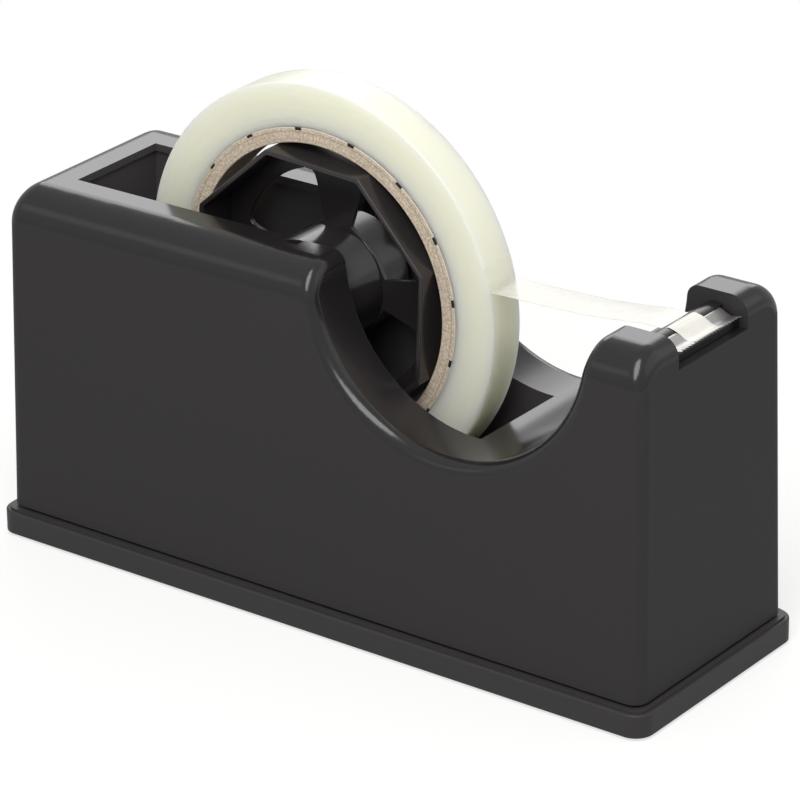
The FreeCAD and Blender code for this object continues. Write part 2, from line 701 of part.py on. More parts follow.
def make_blade():
    """A steel strip folded down into the block's slot, dished on its seat, with a row of teeth in front."""
    owner = body("blade")
    slot_rear, leg_rear, leg_front, slot_front, fold_top, valley_top = blade_places()
    thick = s["blade_thickness"]
    side = outline(sketch_on(owner, "blade_side", "XZ_Plane"), [
        (leg_rear, fold_top - s["blade_leg"]),
        (leg_front, fold_top - s["blade_leg"]),
        (leg_front, fold_top - thick),
        (valley_x, valley_top - thick),
        (tip_x, tip_z - s["tip_thickness"]),
        (tip_x, tip_z),
        (valley_x, valley_top),
        (leg_front, fold_top),
        (leg_rear, fold_top),
    ])
    pad(owner, "strip", side, s["blade_width"], both_ways=True)
    first = s["tooth_margin"] - s["blade_width"] / 2
    slack = s["tooth_pitch"] / 10
    teeth = outline(sketch_on(owner, "tooth_gap", "XY_Plane", tip_z + thick), [
        (tip_x - s["tooth_depth"], first + s["tooth_pitch"] / 2),
        (tip_x + slack, first - slack / 2),
        (tip_x + slack, first + s["tooth_pitch"] + slack / 2),
    ])
    gap = pocket(owner, "gap", teeth, thick * 4)
    doc.recompute()
    row = owner.newObject("PartDesign::LinearPattern", "teeth")
    row.Originals = [gap]
    row.Direction = (teeth, ["V_Axis"])
    toothed = s["blade_width"] - s["tooth_margin"] * 2
    count = int(toothed.value / s["tooth_pitch"].value)
    bind(row, Length=s["tooth_pitch"] * (count - 1))
    row.Occurrences = count
    owner.Tip = row
    owner.Label = "blade"
    return [owner]


# ---------------------------------------------------------------- hub and roll

def octagon(sketch, radius):
    """A regular eight-sided outline about the sketch's origin, turned as the adapter stands."""
    points = []
    for number in range(ADAPTER_SIDES):
        angle = math.radians(360.0 / ADAPTER_SIDES * (number + 0.5) + ADAPTER_TURN)
        points.append((radius * math.cos(angle), radius * math.sin(angle)))
    return outline(sketch, points)


def sector(sketch, inner, outer, first, last):
    """A window between two circles about the origin and two lines out from it, angles in degrees."""
    start, end = math.radians(first), math.radians(last)
    arcs = []
    for radius in (inner, outer):
        ring = Part.Circle(Vector(0, 0, 0), Vector(0, 0, 1), radius.value)
        arc = sketch.addGeometry(Part.ArcOfCircle(ring, start, end), False)
        sketch.addConstraint(Sketcher.Constraint("Coincident", arc, 3, -1, 1))
        number = sketch.addConstraint(Sketcher.Constraint("Radius", arc, radius.value))
        sketch.setExpression("Constraints[%d]" % number, radius.text)
        arcs.append(arc)
    for angle, end_of_arc in ((start, 1), (end, 2)):
        ends = [sketch.getPoint(arc, end_of_arc) for arc in arcs]
        side = sketch.addGeometry(Part.LineSegment(*ends), False)
        for number, arc in enumerate(arcs, start=1):
            sketch.addConstraint(Sketcher.Constraint("Coincident", arc, end_of_arc, side, number))
        sketch.addConstraint(Sketcher.Constraint("PointOnObject", -1, 1, side))
        sketch.addConstraint(Sketcher.Constraint("Angle", side, angle))
    return sketch


def make_adapter():
    """The core adapter: an eight-sided wall, a web with four windows, and a sleeve for the spool."""
    owner = body("core_adapter")
    half = s["adapter_width"] / 2
    web_far = s["web_place"] + s["web_thickness"]
    flat_share = math.cos(math.pi / ADAPTER_SIDES)
    inner_corner = adapter_corner - s["adapter_wall"] / flat_share
    drum = octagon(sketch_on(owner, "drum_outline", "XZ_Plane", -half), adapter_corner)
    pad(owner, "drum", drum, half * 2)
    near = octagon(sketch_on(owner, "near_dish", "XZ_Plane", half), inner_corner)
    pocket(owner, "near_dish_cut", near, half + s["web_place"])
    far = octagon(sketch_on(owner, "far_dish", "XZ_Plane", -half), inner_corner)
    pocket(owner, "far_dish_cut", far, half - web_far, reverse=True)
    sleeve = circle(sketch_on(owner, "sleeve_circle", "XZ_Plane"), s["sleeve_radius"])
    pad(owner, "sleeve", sleeve, s["spool_width"], both_ways=True)
    inner = s["sleeve_radius"] + s["window_bead"]
    outer = inner_corner * flat_share - s["window_margin"]
    windows = sketch_on(owner, "window_outlines", "XZ_Plane", -web_far)
    for number in range(SPOKES):
        spoke = 360.0 / SPOKES * number + ADAPTER_TURN
        following = spoke + 360.0 / SPOKES
        sector(windows, inner, outer, spoke + SPOKE_SPREAD, following - SPOKE_SPREAD)
    opened = pocket(owner, "windows", windows, s["web_thickness"] * 2, both_ways=True)
    thick = s["web_thickness"].value
    round_edges(owner, "window_corners", opened, s["window_corner"], lambda edge: (
        abs(edge.BoundBox.YLength - thick) < NEAR_ZERO and edge.BoundBox.XLength < NEAR_ZERO
        and abs(math.hypot(edge.BoundBox.XMin, edge.BoundBox.ZMin) - outer.value) < NEAR_ZERO))
    bore = circle(sketch_on(owner, "sleeve_bore", "XZ_Plane"), s["spool_radius"] + s["push_fit"])
    pocket(owner, "bore_cut", bore, s["spool_width"] * 2, both_ways=True)
    owner.Label = "core_adapter"
    place(owner, axle_x, 0.0, axle_z)
    return owner


def turned(name, rings):
    """A body turned about the axle: each ring is inner radius, outer radius and its span along Y."""
    owner = body(name)
    for number, (inner, outer, low, high) in enumerate(rings, start=1):
        sketch = sketch_on(owner, "%s_ring_%d" % (name, number), "XZ_Plane", -Size.of(high))
        circle(sketch, outer)
        circle(sketch, inner)
        pad(owner, "%s_band_%d" % (name, number), sketch, Size.of(high) - low)
    owner.Label = name
    place(owner, axle_x, 0.0, axle_z)
    return owner


def make_spool():
    """The one-inch spool in two pressed halves, each a tube with a web and a bearing round the axle."""
    half = s["spool_width"] / 2
    end = half - s["bearing_inset"]
    bore = s["axle_radius"] + s["running_fit"]
    inner = s["spool_radius"] - s["spool_wall"]
    bearing = bore + s["bearing_wall"]
    web = s["spool_web"]
    near = turned("spool_near", [
        (inner, s["spool_radius"], -half, 0.0),
        (bearing - OVERLAP, inner + OVERLAP, -web, 0.0),
        (bore, bearing, -end, 0.0),
    ])
    far = turned("spool_far", [
        (inner, s["spool_radius"], 0.0, half),
        (bearing - OVERLAP, inner + OVERLAP, 0.0, web),
        (bore, bearing, 0.0, end),
    ])
    return [near, far]


def make_axle():
    """A plain steel axle, its ends in the two cradles, with turned chamfers."""
    owner = body("axle")
    sketch = circle(sketch_on(owner, "axle_circle", "XZ_Plane"), s["axle_radius"])
    rod = pad(owner, "axle_rod", sketch, s["axle_reach"] * 2, both_ways=True)
    doc.recompute()
    edges = enumerate(rod.Shape.Edges, start=1)
    ends = [number for number, edge in edges if edge.BoundBox.YLength < NEAR_ZERO]
    chamfer = owner.newObject("PartDesign::Chamfer", "axle_ends")
    chamfer.Base = (rod, ["Edge%d" % number for number in ends])
    bind(chamfer, Size=s["axle_chamfer"])
    owner.Label = "axle"
    place(owner, axle_x, 0.0, axle_z)
    return owner


def make_roll():
    """The cardboard core and the tape wound on it, centred on the adapter."""
    half = s["tape_width"] / 2
    core = turned("core", [(core_radius, core_outer, -half, half)])
    wound = turned("wound_tape", [(core_outer, tape_radius, -half, half)])
    return [core, wound]


def make_strip():
    """The free tape: off the roll, over the ridge of the cutter block and down to the teeth."""
    owner = body("free_tape")
    slot_rear, leg_rear, leg_front, slot_front, fold_top, valley_top = blade_places()
    gap = s["strip_gap"]
    thick = s["strip_thickness"]
    leave = math.radians(s["strip_leave"].value)
    start_x = axle_x + (tape_radius + gap) * math.cos(leave)
    start_z = axle_z + (tape_radius + gap) * math.sin(leave)
    over = ridge_top + gap
    clear = gap * 1.5
    run = ridge_x - start_x
    rise = over - start_z
    lower = [(start_x, start_z)]
    lower += [(start_x + run * along, start_z + rise * up) for along, up in STRIP_RISE]
    lower += [
        (ridge_x - s["ridge_radius"] / 3, over),
        (ridge_x + s["slot_ahead"] / 3, over),
        (leg_front, fold_top + clear),
        (valley_x, valley_top + clear),
        (tip_x - s["tooth_depth"] / 3, tip_z + gap),
    ]
    upper = [(x, z + thick) for x, z in reversed(lower)]
    side = outline(sketch_on(owner, "strip_side", "XZ_Plane"), lower + upper)
    pad(owner, "strip_sheet", side, s["tape_width"], both_ways=True)
    owner.Label = "free_tape"
    return owner


# ---------------------------------------------------------------- build, check and write

def check(pieces):
    """Stop if any object failed or any piece has no valid solid."""
    doc.recompute()
    for item in doc.Objects:
        for word in item.State:
            if word in ("Invalid", "Error"):
                raise RuntimeError("%s is %s" % (item.Name, word))
    for piece in pieces:
        if piece.Shape.isNull() or not piece.Shape.isValid() or piece.Shape.Volume <= 0.0:
            raise RuntimeError("%s has no valid solid" % piece.Label)


def write(pieces):
    os.makedirs("parts", exist_ok=True)
    for piece in pieces:
        piece.Shape.exportStep("parts/%s.step" % piece.Label)
        print("%-16s %2d solid(s) %10.1f mm3" % (piece.Label, len(piece.Shape.Solids), piece.Shape.Volume))


def main():
    pieces = make_base_plate() + make_feet() + make_base_screws()
    pieces += make_housing() + make_weights() + make_cutter_block() + make_blade()
    pieces += [make_adapter()] + make_spool() + [make_axle()] + make_roll() + [make_strip()]
    check(pieces)
    write(pieces)


main()
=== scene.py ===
"""Looks of a desktop tape dispenser, laid out as a Blender add-on.

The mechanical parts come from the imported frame.  This file adds the pieces that need a finer surface than
the frame has (the wound tape, the cardboard core, the core adapter, the spool, the blade, the free tape),
gives every piece a procedural material, and sets a plain studio round them.
Lengths in the functions below are millimetres in the frame's own axes; meshes are written in metres.
"""

import math

import bpy
import numpy as np
from mathutils import Matrix, Vector


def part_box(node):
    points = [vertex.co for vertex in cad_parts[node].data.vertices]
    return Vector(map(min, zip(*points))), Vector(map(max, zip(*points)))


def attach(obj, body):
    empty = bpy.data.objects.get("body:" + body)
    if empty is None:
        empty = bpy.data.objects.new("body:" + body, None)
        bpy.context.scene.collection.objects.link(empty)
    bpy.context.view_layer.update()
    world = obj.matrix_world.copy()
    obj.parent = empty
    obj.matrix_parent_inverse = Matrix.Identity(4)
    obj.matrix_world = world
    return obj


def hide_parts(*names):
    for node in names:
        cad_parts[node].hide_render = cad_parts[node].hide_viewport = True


bl_info = {
    "name": "Tape Dispenser",
    "version": (1, 0, 0),
    "blender": (4, 5, 0),
    "location": "View3D > Sidebar > Dispenser",
    "description": "Builds the fine pieces, finishes and studio of a desktop tape dispenser",
    "category": "Object",
}

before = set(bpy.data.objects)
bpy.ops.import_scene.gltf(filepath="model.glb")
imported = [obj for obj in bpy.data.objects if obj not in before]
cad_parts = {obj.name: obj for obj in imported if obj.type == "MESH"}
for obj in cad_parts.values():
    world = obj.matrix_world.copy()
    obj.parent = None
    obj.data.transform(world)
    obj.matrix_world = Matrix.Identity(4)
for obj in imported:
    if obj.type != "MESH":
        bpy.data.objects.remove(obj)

MM = 0.001
TURN = 2.0 * math.pi

# The roll's well.
WELL_REAR, WELL_FRONT, WELL_HALF = -86.1, 40.8, 15.7
WELL_LIP, WELL_SCOOP = 94.75, -4.0      # height of the lip round its mouth, and where the scoop ends it
LIP_STEP, WALL_SLACK = 0.82, 0.03       # how far it widens under the lip, and what still counts as wall

# The core, and the core adapter with its wall, sleeve, web and windows.
CORE_WALL = 4.0
ADAPTER_LEAN = math.radians(-2.8)       # from flats that are level and upright to how the adapter stands
ADAPTER_FLATS = np.arange(8) * TURN / 8.0 + ADAPTER_LEAN
ADAPTER_HALF, ADAPTER_WALL, ADAPTER_EDGE = 10.5, 1.4, 0.45      # half its width, its wall, and the rounding
SLEEVE_RADIUS, SLEEVE_FIT = 14.85, 0.05                         # with its clearance round the spool
WEB_NEAR, WEB_FAR, WEB_EDGE = 1.2, 2.7, 0.2                     # its two faces, and the windows' rounding
WEB_ROOT, WEB_SUNK = 14.5, 0.3          # its inner radius in the sleeve, and how far it runs into the wall
WINDOW_INNER, WINDOW_OUTER = 15.15, 29.6                        # radii of a window's two arcs
WINDOW_SPREAD, FIRST_WINDOW = math.radians(29.8), math.radians(42.2)    # half its angle, and where one is
WINDOW_SPOT = 22.0                      # radius of the spot in it from which its outline is worked out

# The spool's halves: each one's tube, web, and bearing, which ends short of the tube.
SPOOL_WALL, SPOOL_WEB, SPOOL_BORE = 1.6, 1.5, 3.6
BEARING_RADIUS, BEARING_INSET = 5.4, 1.0

# The blade, whose lip rises again in front of a valley, and the free tape over it.
BLADE_THICKNESS, TIP_THICKNESS = 0.6, 0.08
VALLEY_BACK, VALLEY_DROP, TIP_DROP = 1.0, 1.4, 0.7      # behind the block's face, and under the blade's fold
TOOTH_PITCH, TOOTH_MARGIN = 1.3, 0.4                    # with what is left plain at each end
RIDGE_BACK = 6.7                        # from the block's front face back to its tape ridge
FILM_LIFT, FILM_THICKNESS = 0.12, 0.07
FILM_LEAVES = np.radians([19.0, 16.5, 14.2, 12.6])      # angles at which it still hugs the roll
FILM_RISE = ((0.12, 0.05), (0.33, 0.2), (0.55, 0.38), (0.72, 0.62), (0.86, 0.86))   # shares forward and up


# ---------------------------------------------------------------- places read from the frame

def span(name):
    """Lowest and highest corner of a frame node in millimetres, as two arrays."""
    low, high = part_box(name)
    return np.array(low) / MM, np.array(high) / MM


def outer_radius(name):
    """Outer radius of a frame node that is centred on the axle."""
    low, high = span(name)
    return (high[2] - low[2]) / 2.0


def axle_centre():
    """The axle's place along X and Z."""
    low, high = span("wound_tape")
    return np.array([(low[0] + high[0]) / 2.0, (low[2] + high[2]) / 2.0])


# ---------------------------------------------------------------- surfaces from arrays

def loop_of(corners, rounds, steps=5):
    """A closed outline with rounded corners.

    At each corner the outline leaves its two sides at the corner's own distance and follows a parabola
    between them: point = (1-t)^2 * start + 2t(1-t) * corner + t^2 * end, with t from 0 to 1.  One more point
    lies just outside each end of it, so that the shading of the sides stays flat right up to the bend.
    """
    points = np.asarray(corners, float)
    cut = np.broadcast_to(np.asarray(rounds, float), (len(points),))[:, None]
    before = np.roll(points, 1, axis=0) - points
    after = np.roll(points, -1, axis=0) - points
    before = before / np.linalg.norm(before, axis=1, keepdims=True) * cut
    after = after / np.linalg.norm(after, axis=1, keepdims=True) * cut
    start, end = points + before, points + after
    t = np.linspace(0.0, 1.0, steps)[None, :, None]
    curve = (1 - t) ** 2 * start[:, None] + 2 * t * (1 - t) * points[:, None] + t ** 2 * end[:, None]
    outside = 0.08
    curve = np.concatenate([start[:, None] + outside * before[:, None], curve,
                            end[:, None] + outside * after[:, None]], axis=1)
    return curve.reshape(-1, 2)


def rectangle(inner, outer, low, high, rounding, steps=5):
    """The rounded outline between two radii and two places across."""
    return loop_of([(inner, low), (outer, low), (outer, high), (inner, high)], rounding, steps)


def finer(loop, gap):
    """The same closed outline with points added so that no side is longer than the gap."""
    following = np.roll(loop, -1, axis=0)
    counts = np.maximum(1, np.ceil(np.linalg.norm(following - loop, axis=1) / gap)).astype(int)
    index = np.repeat(np.arange(len(loop)), counts)
    step = np.arange(len(index)) - np.repeat(np.cumsum(counts) - counts, counts)
    share = (step / counts[index])[:, None]
    return loop[index] * (1 - share) + following[index] * share


def wrapped_faces(rows, columns, close_rows=True):
    """Quads over a grid of rows by columns; the columns always join up, and the rows do if asked."""
    last = rows if close_rows else rows - 1
    row, column = np.meshgrid(np.arange(last), np.arange(columns), indexing="ij")
    next_row, next_column = (row + 1) % rows, (column + 1) % columns
    corners = [row * columns + column, row * columns + next_column,
               next_row * columns + next_column, next_row * columns + column]
    return np.stack(corners, axis=-1).reshape(-1, 4)


def facing_out(points, faces):
    """The faces, turned over if the closed surface they make has a negative volume."""
    a, b, c, d = (points[faces[:, k]] for k in range(4))
    volume = np.einsum("ij,ij->i", a, np.cross(b, c)) + np.einsum("ij,ij->i", a, np.cross(c, d))
    return faces[:, ::-1] if volume.sum() < 0 else faces


def ring_shell(grid):
    """A closed surface from a grid (rows, columns, 3) that joins up both ways, like a ring's."""
    points = grid.reshape(-1, 3)
    return points, facing_out(points, wrapped_faces(*grid.shape[:2]))


def bar_shell(grid):
    """A closed surface from a grid of cross-sections; each end is drawn in to its own middle."""
    first, last = grid[:1].mean(axis=1, keepdims=True), grid[-1:].mean(axis=1, keepdims=True)
    ends = [np.broadcast_to(first, grid[:1].shape), np.broadcast_to(last, grid[-1:].shape)]
    whole = np.concatenate([ends[0], grid[:1], grid, grid[-1:], ends[1]])
    points = whole.reshape(-1, 3)
    return points, facing_out(points, wrapped_faces(*whole.shape[:2], close_rows=False))


def turned(loop, segments, centre):
    """An outline of (radius, y) turned about the axle: x = cx + r cos a, z = cz + r sin a."""
    angle = np.linspace(0.0, TURN, segments, endpoint=False)[:, None]
    radius, across = loop[None, :, 0], loop[None, :, 1]
    grid = np.stack([centre[0] + radius * np.cos(angle), across + 0.0 * angle,
                     centre[1] + radius * np.sin(angle)], axis=-1)
    return ring_shell(grid)


def put_mesh(name, shells, material):
    """One mesh object from several closed shells, each (points, faces) or (points, faces, smooth or not)."""
    offsets = np.cumsum([0] + [len(shell[0]) for shell in shells[:-1]])
    points = np.concatenate([shell[0] for shell in shells]) * MM
    faces = np.concatenate([shell[1] + offset for shell, offset in zip(shells, offsets)])
    smooth = np.concatenate([np.full(len(shell[1]), all(shell[2:])) for shell in shells])
    mesh = bpy.data.meshes.new(name)
    mesh.vertices.add(len(points))
    mesh.vertices.foreach_set("co", points.astype(np.float32).ravel())
    mesh.loops.add(faces.size)
    mesh.loops.foreach_set("vertex_index", faces.astype(np.int32).ravel())
    mesh.polygons.add(len(faces))
    mesh.polygons.foreach_set("loop_start", np.arange(0, faces.size, 4, dtype=np.int32))
    mesh.polygons.foreach_set("use_smooth", smooth)
    mesh.update(calc_edges=True)
    mesh.validate()
    mesh.materials.append(material)
    piece = bpy.data.objects.new(name, mesh)
    bpy.context.scene.collection.objects.link(piece)
    weld = piece.modifiers.new("weld", "WELD")
    weld.merge_threshold = 1e-7
    return piece


# ---------------------------------------------------------------- material helpers

def linear(text):
    """A colour written as sRGB hex, as linear red, green, blue and alpha."""
    values = np.array([int(text[i:i + 2], 16) for i in (1, 3, 5)]) / 255.0
    curve = np.where(values <= 0.04045, values / 12.92, ((values + 0.055) / 1.055) ** 2.4)
    return (*curve.tolist(), 1.0)


def feed(tree, made, inputs):
    """Fill a node's inputs: one that is given a node or a socket is linked, any other is set."""
    for name, value in inputs.items():
        value = value.outputs[0] if isinstance(value, bpy.types.Node) else value
        if isinstance(value, bpy.types.NodeSocket):
            tree.links.new(value, made.inputs[name])
        else:
            made.inputs[name].default_value = value


def node(tree, kind, *values, inputs=None, **settings):
    """A shader node with its settings, its first inputs as plain values and others by name or number."""
    made = tree.nodes.new("ShaderNode" + kind)
    for name, value in settings.items():
        setattr(made, name, value)
    feed(tree, made, {**dict(enumerate(values)), **(inputs or {})})
    return made


def material(name):
    """A new material with one Principled shader; returns the material, its tree, shader and coordinates."""
    made = bpy.data.materials.new(name)
    made.use_nodes = True
    tree = made.node_tree
    tree.nodes.clear()
    shader = node(tree, "BsdfPrincipled")
    node(tree, "OutputMaterial", shader)
    return made, tree, shader, node(tree, "TexCoord").outputs["Object"]


def around_axle(tree, place):
    """Distance from the axle in metres and angle about it in turns, from a piece's own coordinates."""
    centre = (axle_centre() * MM).tolist()
    parts = node(tree, "SeparateXYZ", place).outputs
    x = node(tree, "Math", parts[0], centre[0], operation="SUBTRACT")
    z = node(tree, "Math", parts[2], centre[1], operation="SUBTRACT")
    flat = node(tree, "CombineXYZ", x, z)
    radius = node(tree, "VectorMath", flat, operation="LENGTH").outputs[1]
    angle = node(tree, "Math", z, x, operation="ARCTAN2")
    return radius, node(tree, "Math", angle, TURN, operation="DIVIDE")


# ---------------------------------------------------------------- materials

# What many nodes share: a smooth step from 0 under its first limit to 1 over its second, a mix of colours
# (its share in input 0, the colours in 6 and 7) and plain noise, which at n / MM has n features a millimetre.
SMOOTH = {"interpolation_type": "SMOOTHSTEP"}
COLOUR = {"data_type": "RGBA"}
NOISE = {"Detail": 3.0, "Roughness": 0.55}


def inside_well(tree, place):
    """1 on the walls and floor of the roll's well and 0 elsewhere on the shell; below its lip it is wider."""
    x, y, z = node(tree, "SeparateXYZ", place).outputs
    under_lip = node(tree, "Math", z, WELL_LIP * MM, operation="LESS_THAN")
    over_scoop = node(tree, "Math", x, WELL_SCOOP * MM, operation="LESS_THAN")
    wide = node(tree, "Math", under_lip, over_scoop, operation="MULTIPLY")
    wider = node(tree, "Math", wide, LIP_STEP * MM, WALL_SLACK * MM, operation="MULTIPLY_ADD")
    aside = node(tree, "Math", y, operation="ABSOLUTE")
    half = node(tree, "Math", wider, WELL_HALF * MM, operation="ADD")
    beside = node(tree, "Math", aside, half, operation="LESS_THAN")
    ahead = node(tree, "Math", x, wider, operation="ADD")
    behind = node(tree, "Math", ahead, WELL_REAR * MM, operation="GREATER_THAN")
    before = node(tree, "Math", x, (WELL_FRONT + WALL_SLACK) * MM, operation="LESS_THAN")
    along = node(tree, "Math", behind, before, operation="MULTIPLY")
    return node(tree, "Math", beside, along, operation="MULTIPLY")


def moulded_shell(looks):
    """Near-black ABS from one mould with two finishes.

    The flat walls carry a fine spark-eroded texture that turns most of their shine into an even dark grey;
    its real grain, about 0.06 mm, is too fine to show and is drawn about five times coarser.
    The rim, the scoop, the horns and all rounded edges are polished: blacker, with clear, narrow highlights.
    Inside the roll's well the plastic is painted greyer, as painted light that lifts the shade falling in the
    well, and its shine is dull.
    """
    made, tree, shader, place = material("ABS_spark_eroded_and_polished")
    normal = node(tree, "SeparateXYZ", node(tree, "TexCoord").outputs["Normal"])
    lean = node(tree, "Math", normal.outputs[2], operation="ABSOLUTE")
    polished = node(tree, "MapRange", lean, 0.03, 0.16, **SMOOTH)
    walls = node(tree, "Math", 1.0, polished, operation="SUBTRACT")
    well = inside_well(tree, place)
    textured = node(tree, "Math", walls, well, operation="MAXIMUM")
    edge_colour, wall_colour = tuple(looks.edge_colour), tuple(looks.wall_colour)
    tint = node(tree, "Mix", walls, inputs={6: edge_colour, 7: wall_colour}, **COLOUR).outputs[2]
    # Painted light: inside the well the colour is painted a paler grey to lift the shade that falls in it.
    tint = node(tree, "Mix", well, inputs={6: tint, 7: linear("#4A4749")}, **COLOUR).outputs[2]
    uneven = node(tree, "TexNoise", inputs={**NOISE, "Vector": place, "Scale": 0.05 / MM})
    edge_rough = node(tree, "Math", uneven, 0.03, looks.rim_roughness, operation="MULTIPLY_ADD")
    duller = looks.wall_roughness - looks.rim_roughness
    rough = node(tree, "Math", textured, duller, edge_rough, operation="MULTIPLY_ADD")
    edge_mirror, wall_mirror = 0.45, 0.15
    mirror = node(tree, "Math", textured, wall_mirror - edge_mirror, edge_mirror, operation="MULTIPLY_ADD")
    grain = node(tree, "TexNoise", inputs={**NOISE, "Vector": place, "Scale": 3.2 / MM, "Detail": 2.0})
    height = node(tree, "Math", grain, textured, operation="MULTIPLY")
    relief = node(tree, "Bump", inputs={"Height": height, "Distance": looks.grain_depth * MM})
    feed(tree, shader, {"Base Color": tint, "Roughness": rough, "Specular IOR Level": mirror,
                        "Normal": relief})
    return made


def moulded_base():
    """Near-black ABS with the same spark-eroded texture all over, a shade duller than the shell.

    Its grain, too, is drawn about five times coarser than the real one.
    """
    made, tree, shader, place = material("ABS_spark_eroded")
    grain = node(tree, "TexNoise", inputs={**NOISE, "Vector": place, "Scale": 2.6 / MM, "Detail": 2.0})
    relief = node(tree, "Bump", inputs={"Height": grain, "Distance": 0.012 * MM})
    feed(tree, shader, {"Base Color": linear("#3B393A"), "Roughness": 0.42, "Specular IOR Level": 0.25,
                        "Normal": relief})
    return made


def polished_styrene(name, colour, roughness):
    """Polished moulded styrene: deep black with sharp reflections and a faint flow unevenness."""
    made, tree, shader, place = material(name)
    flow = node(tree, "TexNoise", inputs={**NOISE, "Vector": place, "Scale": 0.12 / MM, "Detail": 1.0})
    relief = node(tree, "Bump", inputs={"Height": flow, "Distance": 0.05 * MM, "Strength": 0.5})
    feed(tree, shader, {"Base Color": colour, "Roughness": roughness, "Normal": relief})
    return made


def wound_film(looks):
    """Clear film wound in hundreds of layers: pale cream green, light soaks in, fine rings on the sides.

    A layer is about 0.05 mm thick, too fine to show, so the rings are drawn about twice as wide.
    """
    made, tree, shader, place = material("polypropylene_film_wound")
    radius = around_axle(tree, place)[0]
    rings = node(tree, "TexNoise", inputs={**NOISE, "W": radius, "Scale": 9.0 / MM, "Detail": 4.0},
                 noise_dimensions="1D")
    broad = node(tree, "TexNoise", inputs={**NOISE, "W": radius, "Scale": 0.5 / MM, "Detail": 1.0},
                 noise_dimensions="1D")
    cloud = node(tree, "TexNoise", inputs={**NOISE, "Vector": place, "Scale": 0.06 / MM, "Detail": 2.0})
    broad_share = node(tree, "Math", broad, 0.35, operation="MULTIPLY")
    share = node(tree, "Math", rings, 0.25, broad_share, operation="MULTIPLY_ADD")
    film_colour = tuple(looks.film_colour)
    tint = node(tree, "Mix", share, inputs={6: film_colour, 7: linear("#F1F1D8")}, **COLOUR).outputs[2]
    green = node(tree, "Math", cloud, 0.25, operation="MULTIPLY")
    tint = node(tree, "Mix", green, inputs={6: tint, 7: linear("#EBF3DA")}, **COLOUR).outputs[2]
    relief = node(tree, "Bump", inputs={"Height": rings, "Distance": 0.012 * MM, "Strength": 0.5})
    feed(tree, shader, {"Base Color": tint, "Roughness": 0.34, "Subsurface Weight": 1.0,
                        "Subsurface Radius": (1.0, 1.0, 0.87), "Subsurface Scale": 9.0 * MM,
                        "Coat Weight": 0.15, "Coat Roughness": 0.25, "Normal": relief})
    return made


def wound_board(looks):
    """Kraft board wound in plies: speckled brown, with darker ply lines, a painted highlight along its outer
    edge and sixteen short black marks at that edge.
    """
    made, tree, shader, place = material("kraft_board_wound")
    radius, turns = around_axle(tree, place)
    fibre = node(tree, "TexNoise", inputs={"Vector": place, "Scale": 1.6 / MM, "Detail": 5.0,
                                           "Roughness": 0.75})
    speck = node(tree, "TexNoise", inputs={**NOISE, "Vector": place, "Scale": 2.8 / MM, "Detail": 2.0})
    plies = node(tree, "TexNoise", inputs={**NOISE, "W": radius, "Scale": 1.4 / MM, "Detail": 2.0},
                 noise_dimensions="1D")
    share = node(tree, "MapRange", fibre, 0.36, 0.66, **SMOOTH)
    board_colour = tuple(looks.board_colour)
    tint = node(tree, "Mix", share, inputs={6: linear("#B9A691"), 7: board_colour}, **COLOUR).outputs[2]
    lines = node(tree, "MapRange", plies, 0.52, 0.6, **SMOOTH)
    lines = node(tree, "Math", lines, 0.4, operation="MULTIPLY")
    tint = node(tree, "Mix", lines, inputs={6: tint, 7: linear("#8C7866")}, **COLOUR).outputs[2]
    pale = node(tree, "MapRange", speck, 0.62, 0.7, **SMOOTH)
    tint = node(tree, "Mix", pale, inputs={6: tint, 7: linear("#EBE1CF")}, **COLOUR).outputs[2]
    outer = float(outer_radius("core"))
    # Painted highlight: a pale band just inside the core's outer radius stands in for the light along its
    # outer edge.
    outer_edge_highlight = node(tree, "MapRange", radius, (outer - 0.3) * MM, (outer - 0.1) * MM, **SMOOTH)
    outer_edge_highlight = node(tree, "Math", outer_edge_highlight, 0.6, operation="MULTIPLY")
    tint = node(tree, "Mix", outer_edge_highlight, inputs={6: tint, 7: linear("#E6E0D0")}, **COLOUR).outputs[2]
    marks, first_mark = 16.0, 0.71
    beat = node(tree, "Math", turns, marks, marks + first_mark, operation="MULTIPLY_ADD")
    beat = node(tree, "Math", beat, operation="FRACT")
    beat = node(tree, "Math", beat, 0.12, operation="LESS_THAN")
    rim = node(tree, "Math", radius, (outer - 0.7) * MM, operation="GREATER_THAN")
    dash = node(tree, "Math", beat, rim, operation="MULTIPLY")
    tint = node(tree, "Mix", dash, inputs={6: tint, 7: linear("#15130F")}, **COLOUR).outputs[2]
    relief = node(tree, "Bump", inputs={"Height": fibre, "Distance": 0.06 * MM, "Strength": 0.8})
    feed(tree, shader, {"Base Color": tint, "Roughness": 0.85, "Normal": relief})
    return made


def clear_film():
    """Clear film with a frosted back: half the light goes straight through, the rest is a clouded soft haze.

    The haze all but goes where film lies on film, and thickens where the glue side lies on the block.
    """
    made, tree, shader, place = material("polypropylene_film_frosted")
    cloud = node(tree, "TexNoise", inputs={**NOISE, "Vector": place, "Scale": 0.3 / MM})
    fine = node(tree, "TexNoise", inputs={**NOISE, "Vector": place, "Scale": 2.2 / MM, "Detail": 2.0})
    relief = node(tree, "Bump", inputs={"Height": fine, "Distance": 0.02 * MM, "Strength": 0.5})
    along = node(tree, "SeparateXYZ", place)
    leaves = float(span("wound_tape")[1][0]) - 2.0
    lies = float(span("cutter_block")[0][0])
    haze = node(tree, "Math", cloud, 0.25, 0.3, operation="MULTIPLY_ADD")
    off_roll = node(tree, "MapRange", along, leaves * MM, (leaves + 4.0) * MM, **SMOOTH)
    haze = node(tree, "Math", haze, off_roll, operation="MULTIPLY")
    laid = node(tree, "MapRange", along, (lies - 1.5) * MM, (lies + 2.0) * MM, **SMOOTH)
    haze = node(tree, "Math", laid, 0.4, haze, operation="MULTIPLY_ADD")
    haze = node(tree, "Math", 0.08, haze, operation="ADD", use_clamp=True)
    feed(tree, shader, {"Base Color": linear("#F1EFE6"), "Roughness": 0.3, "Alpha": haze, "Normal": relief})
    return made


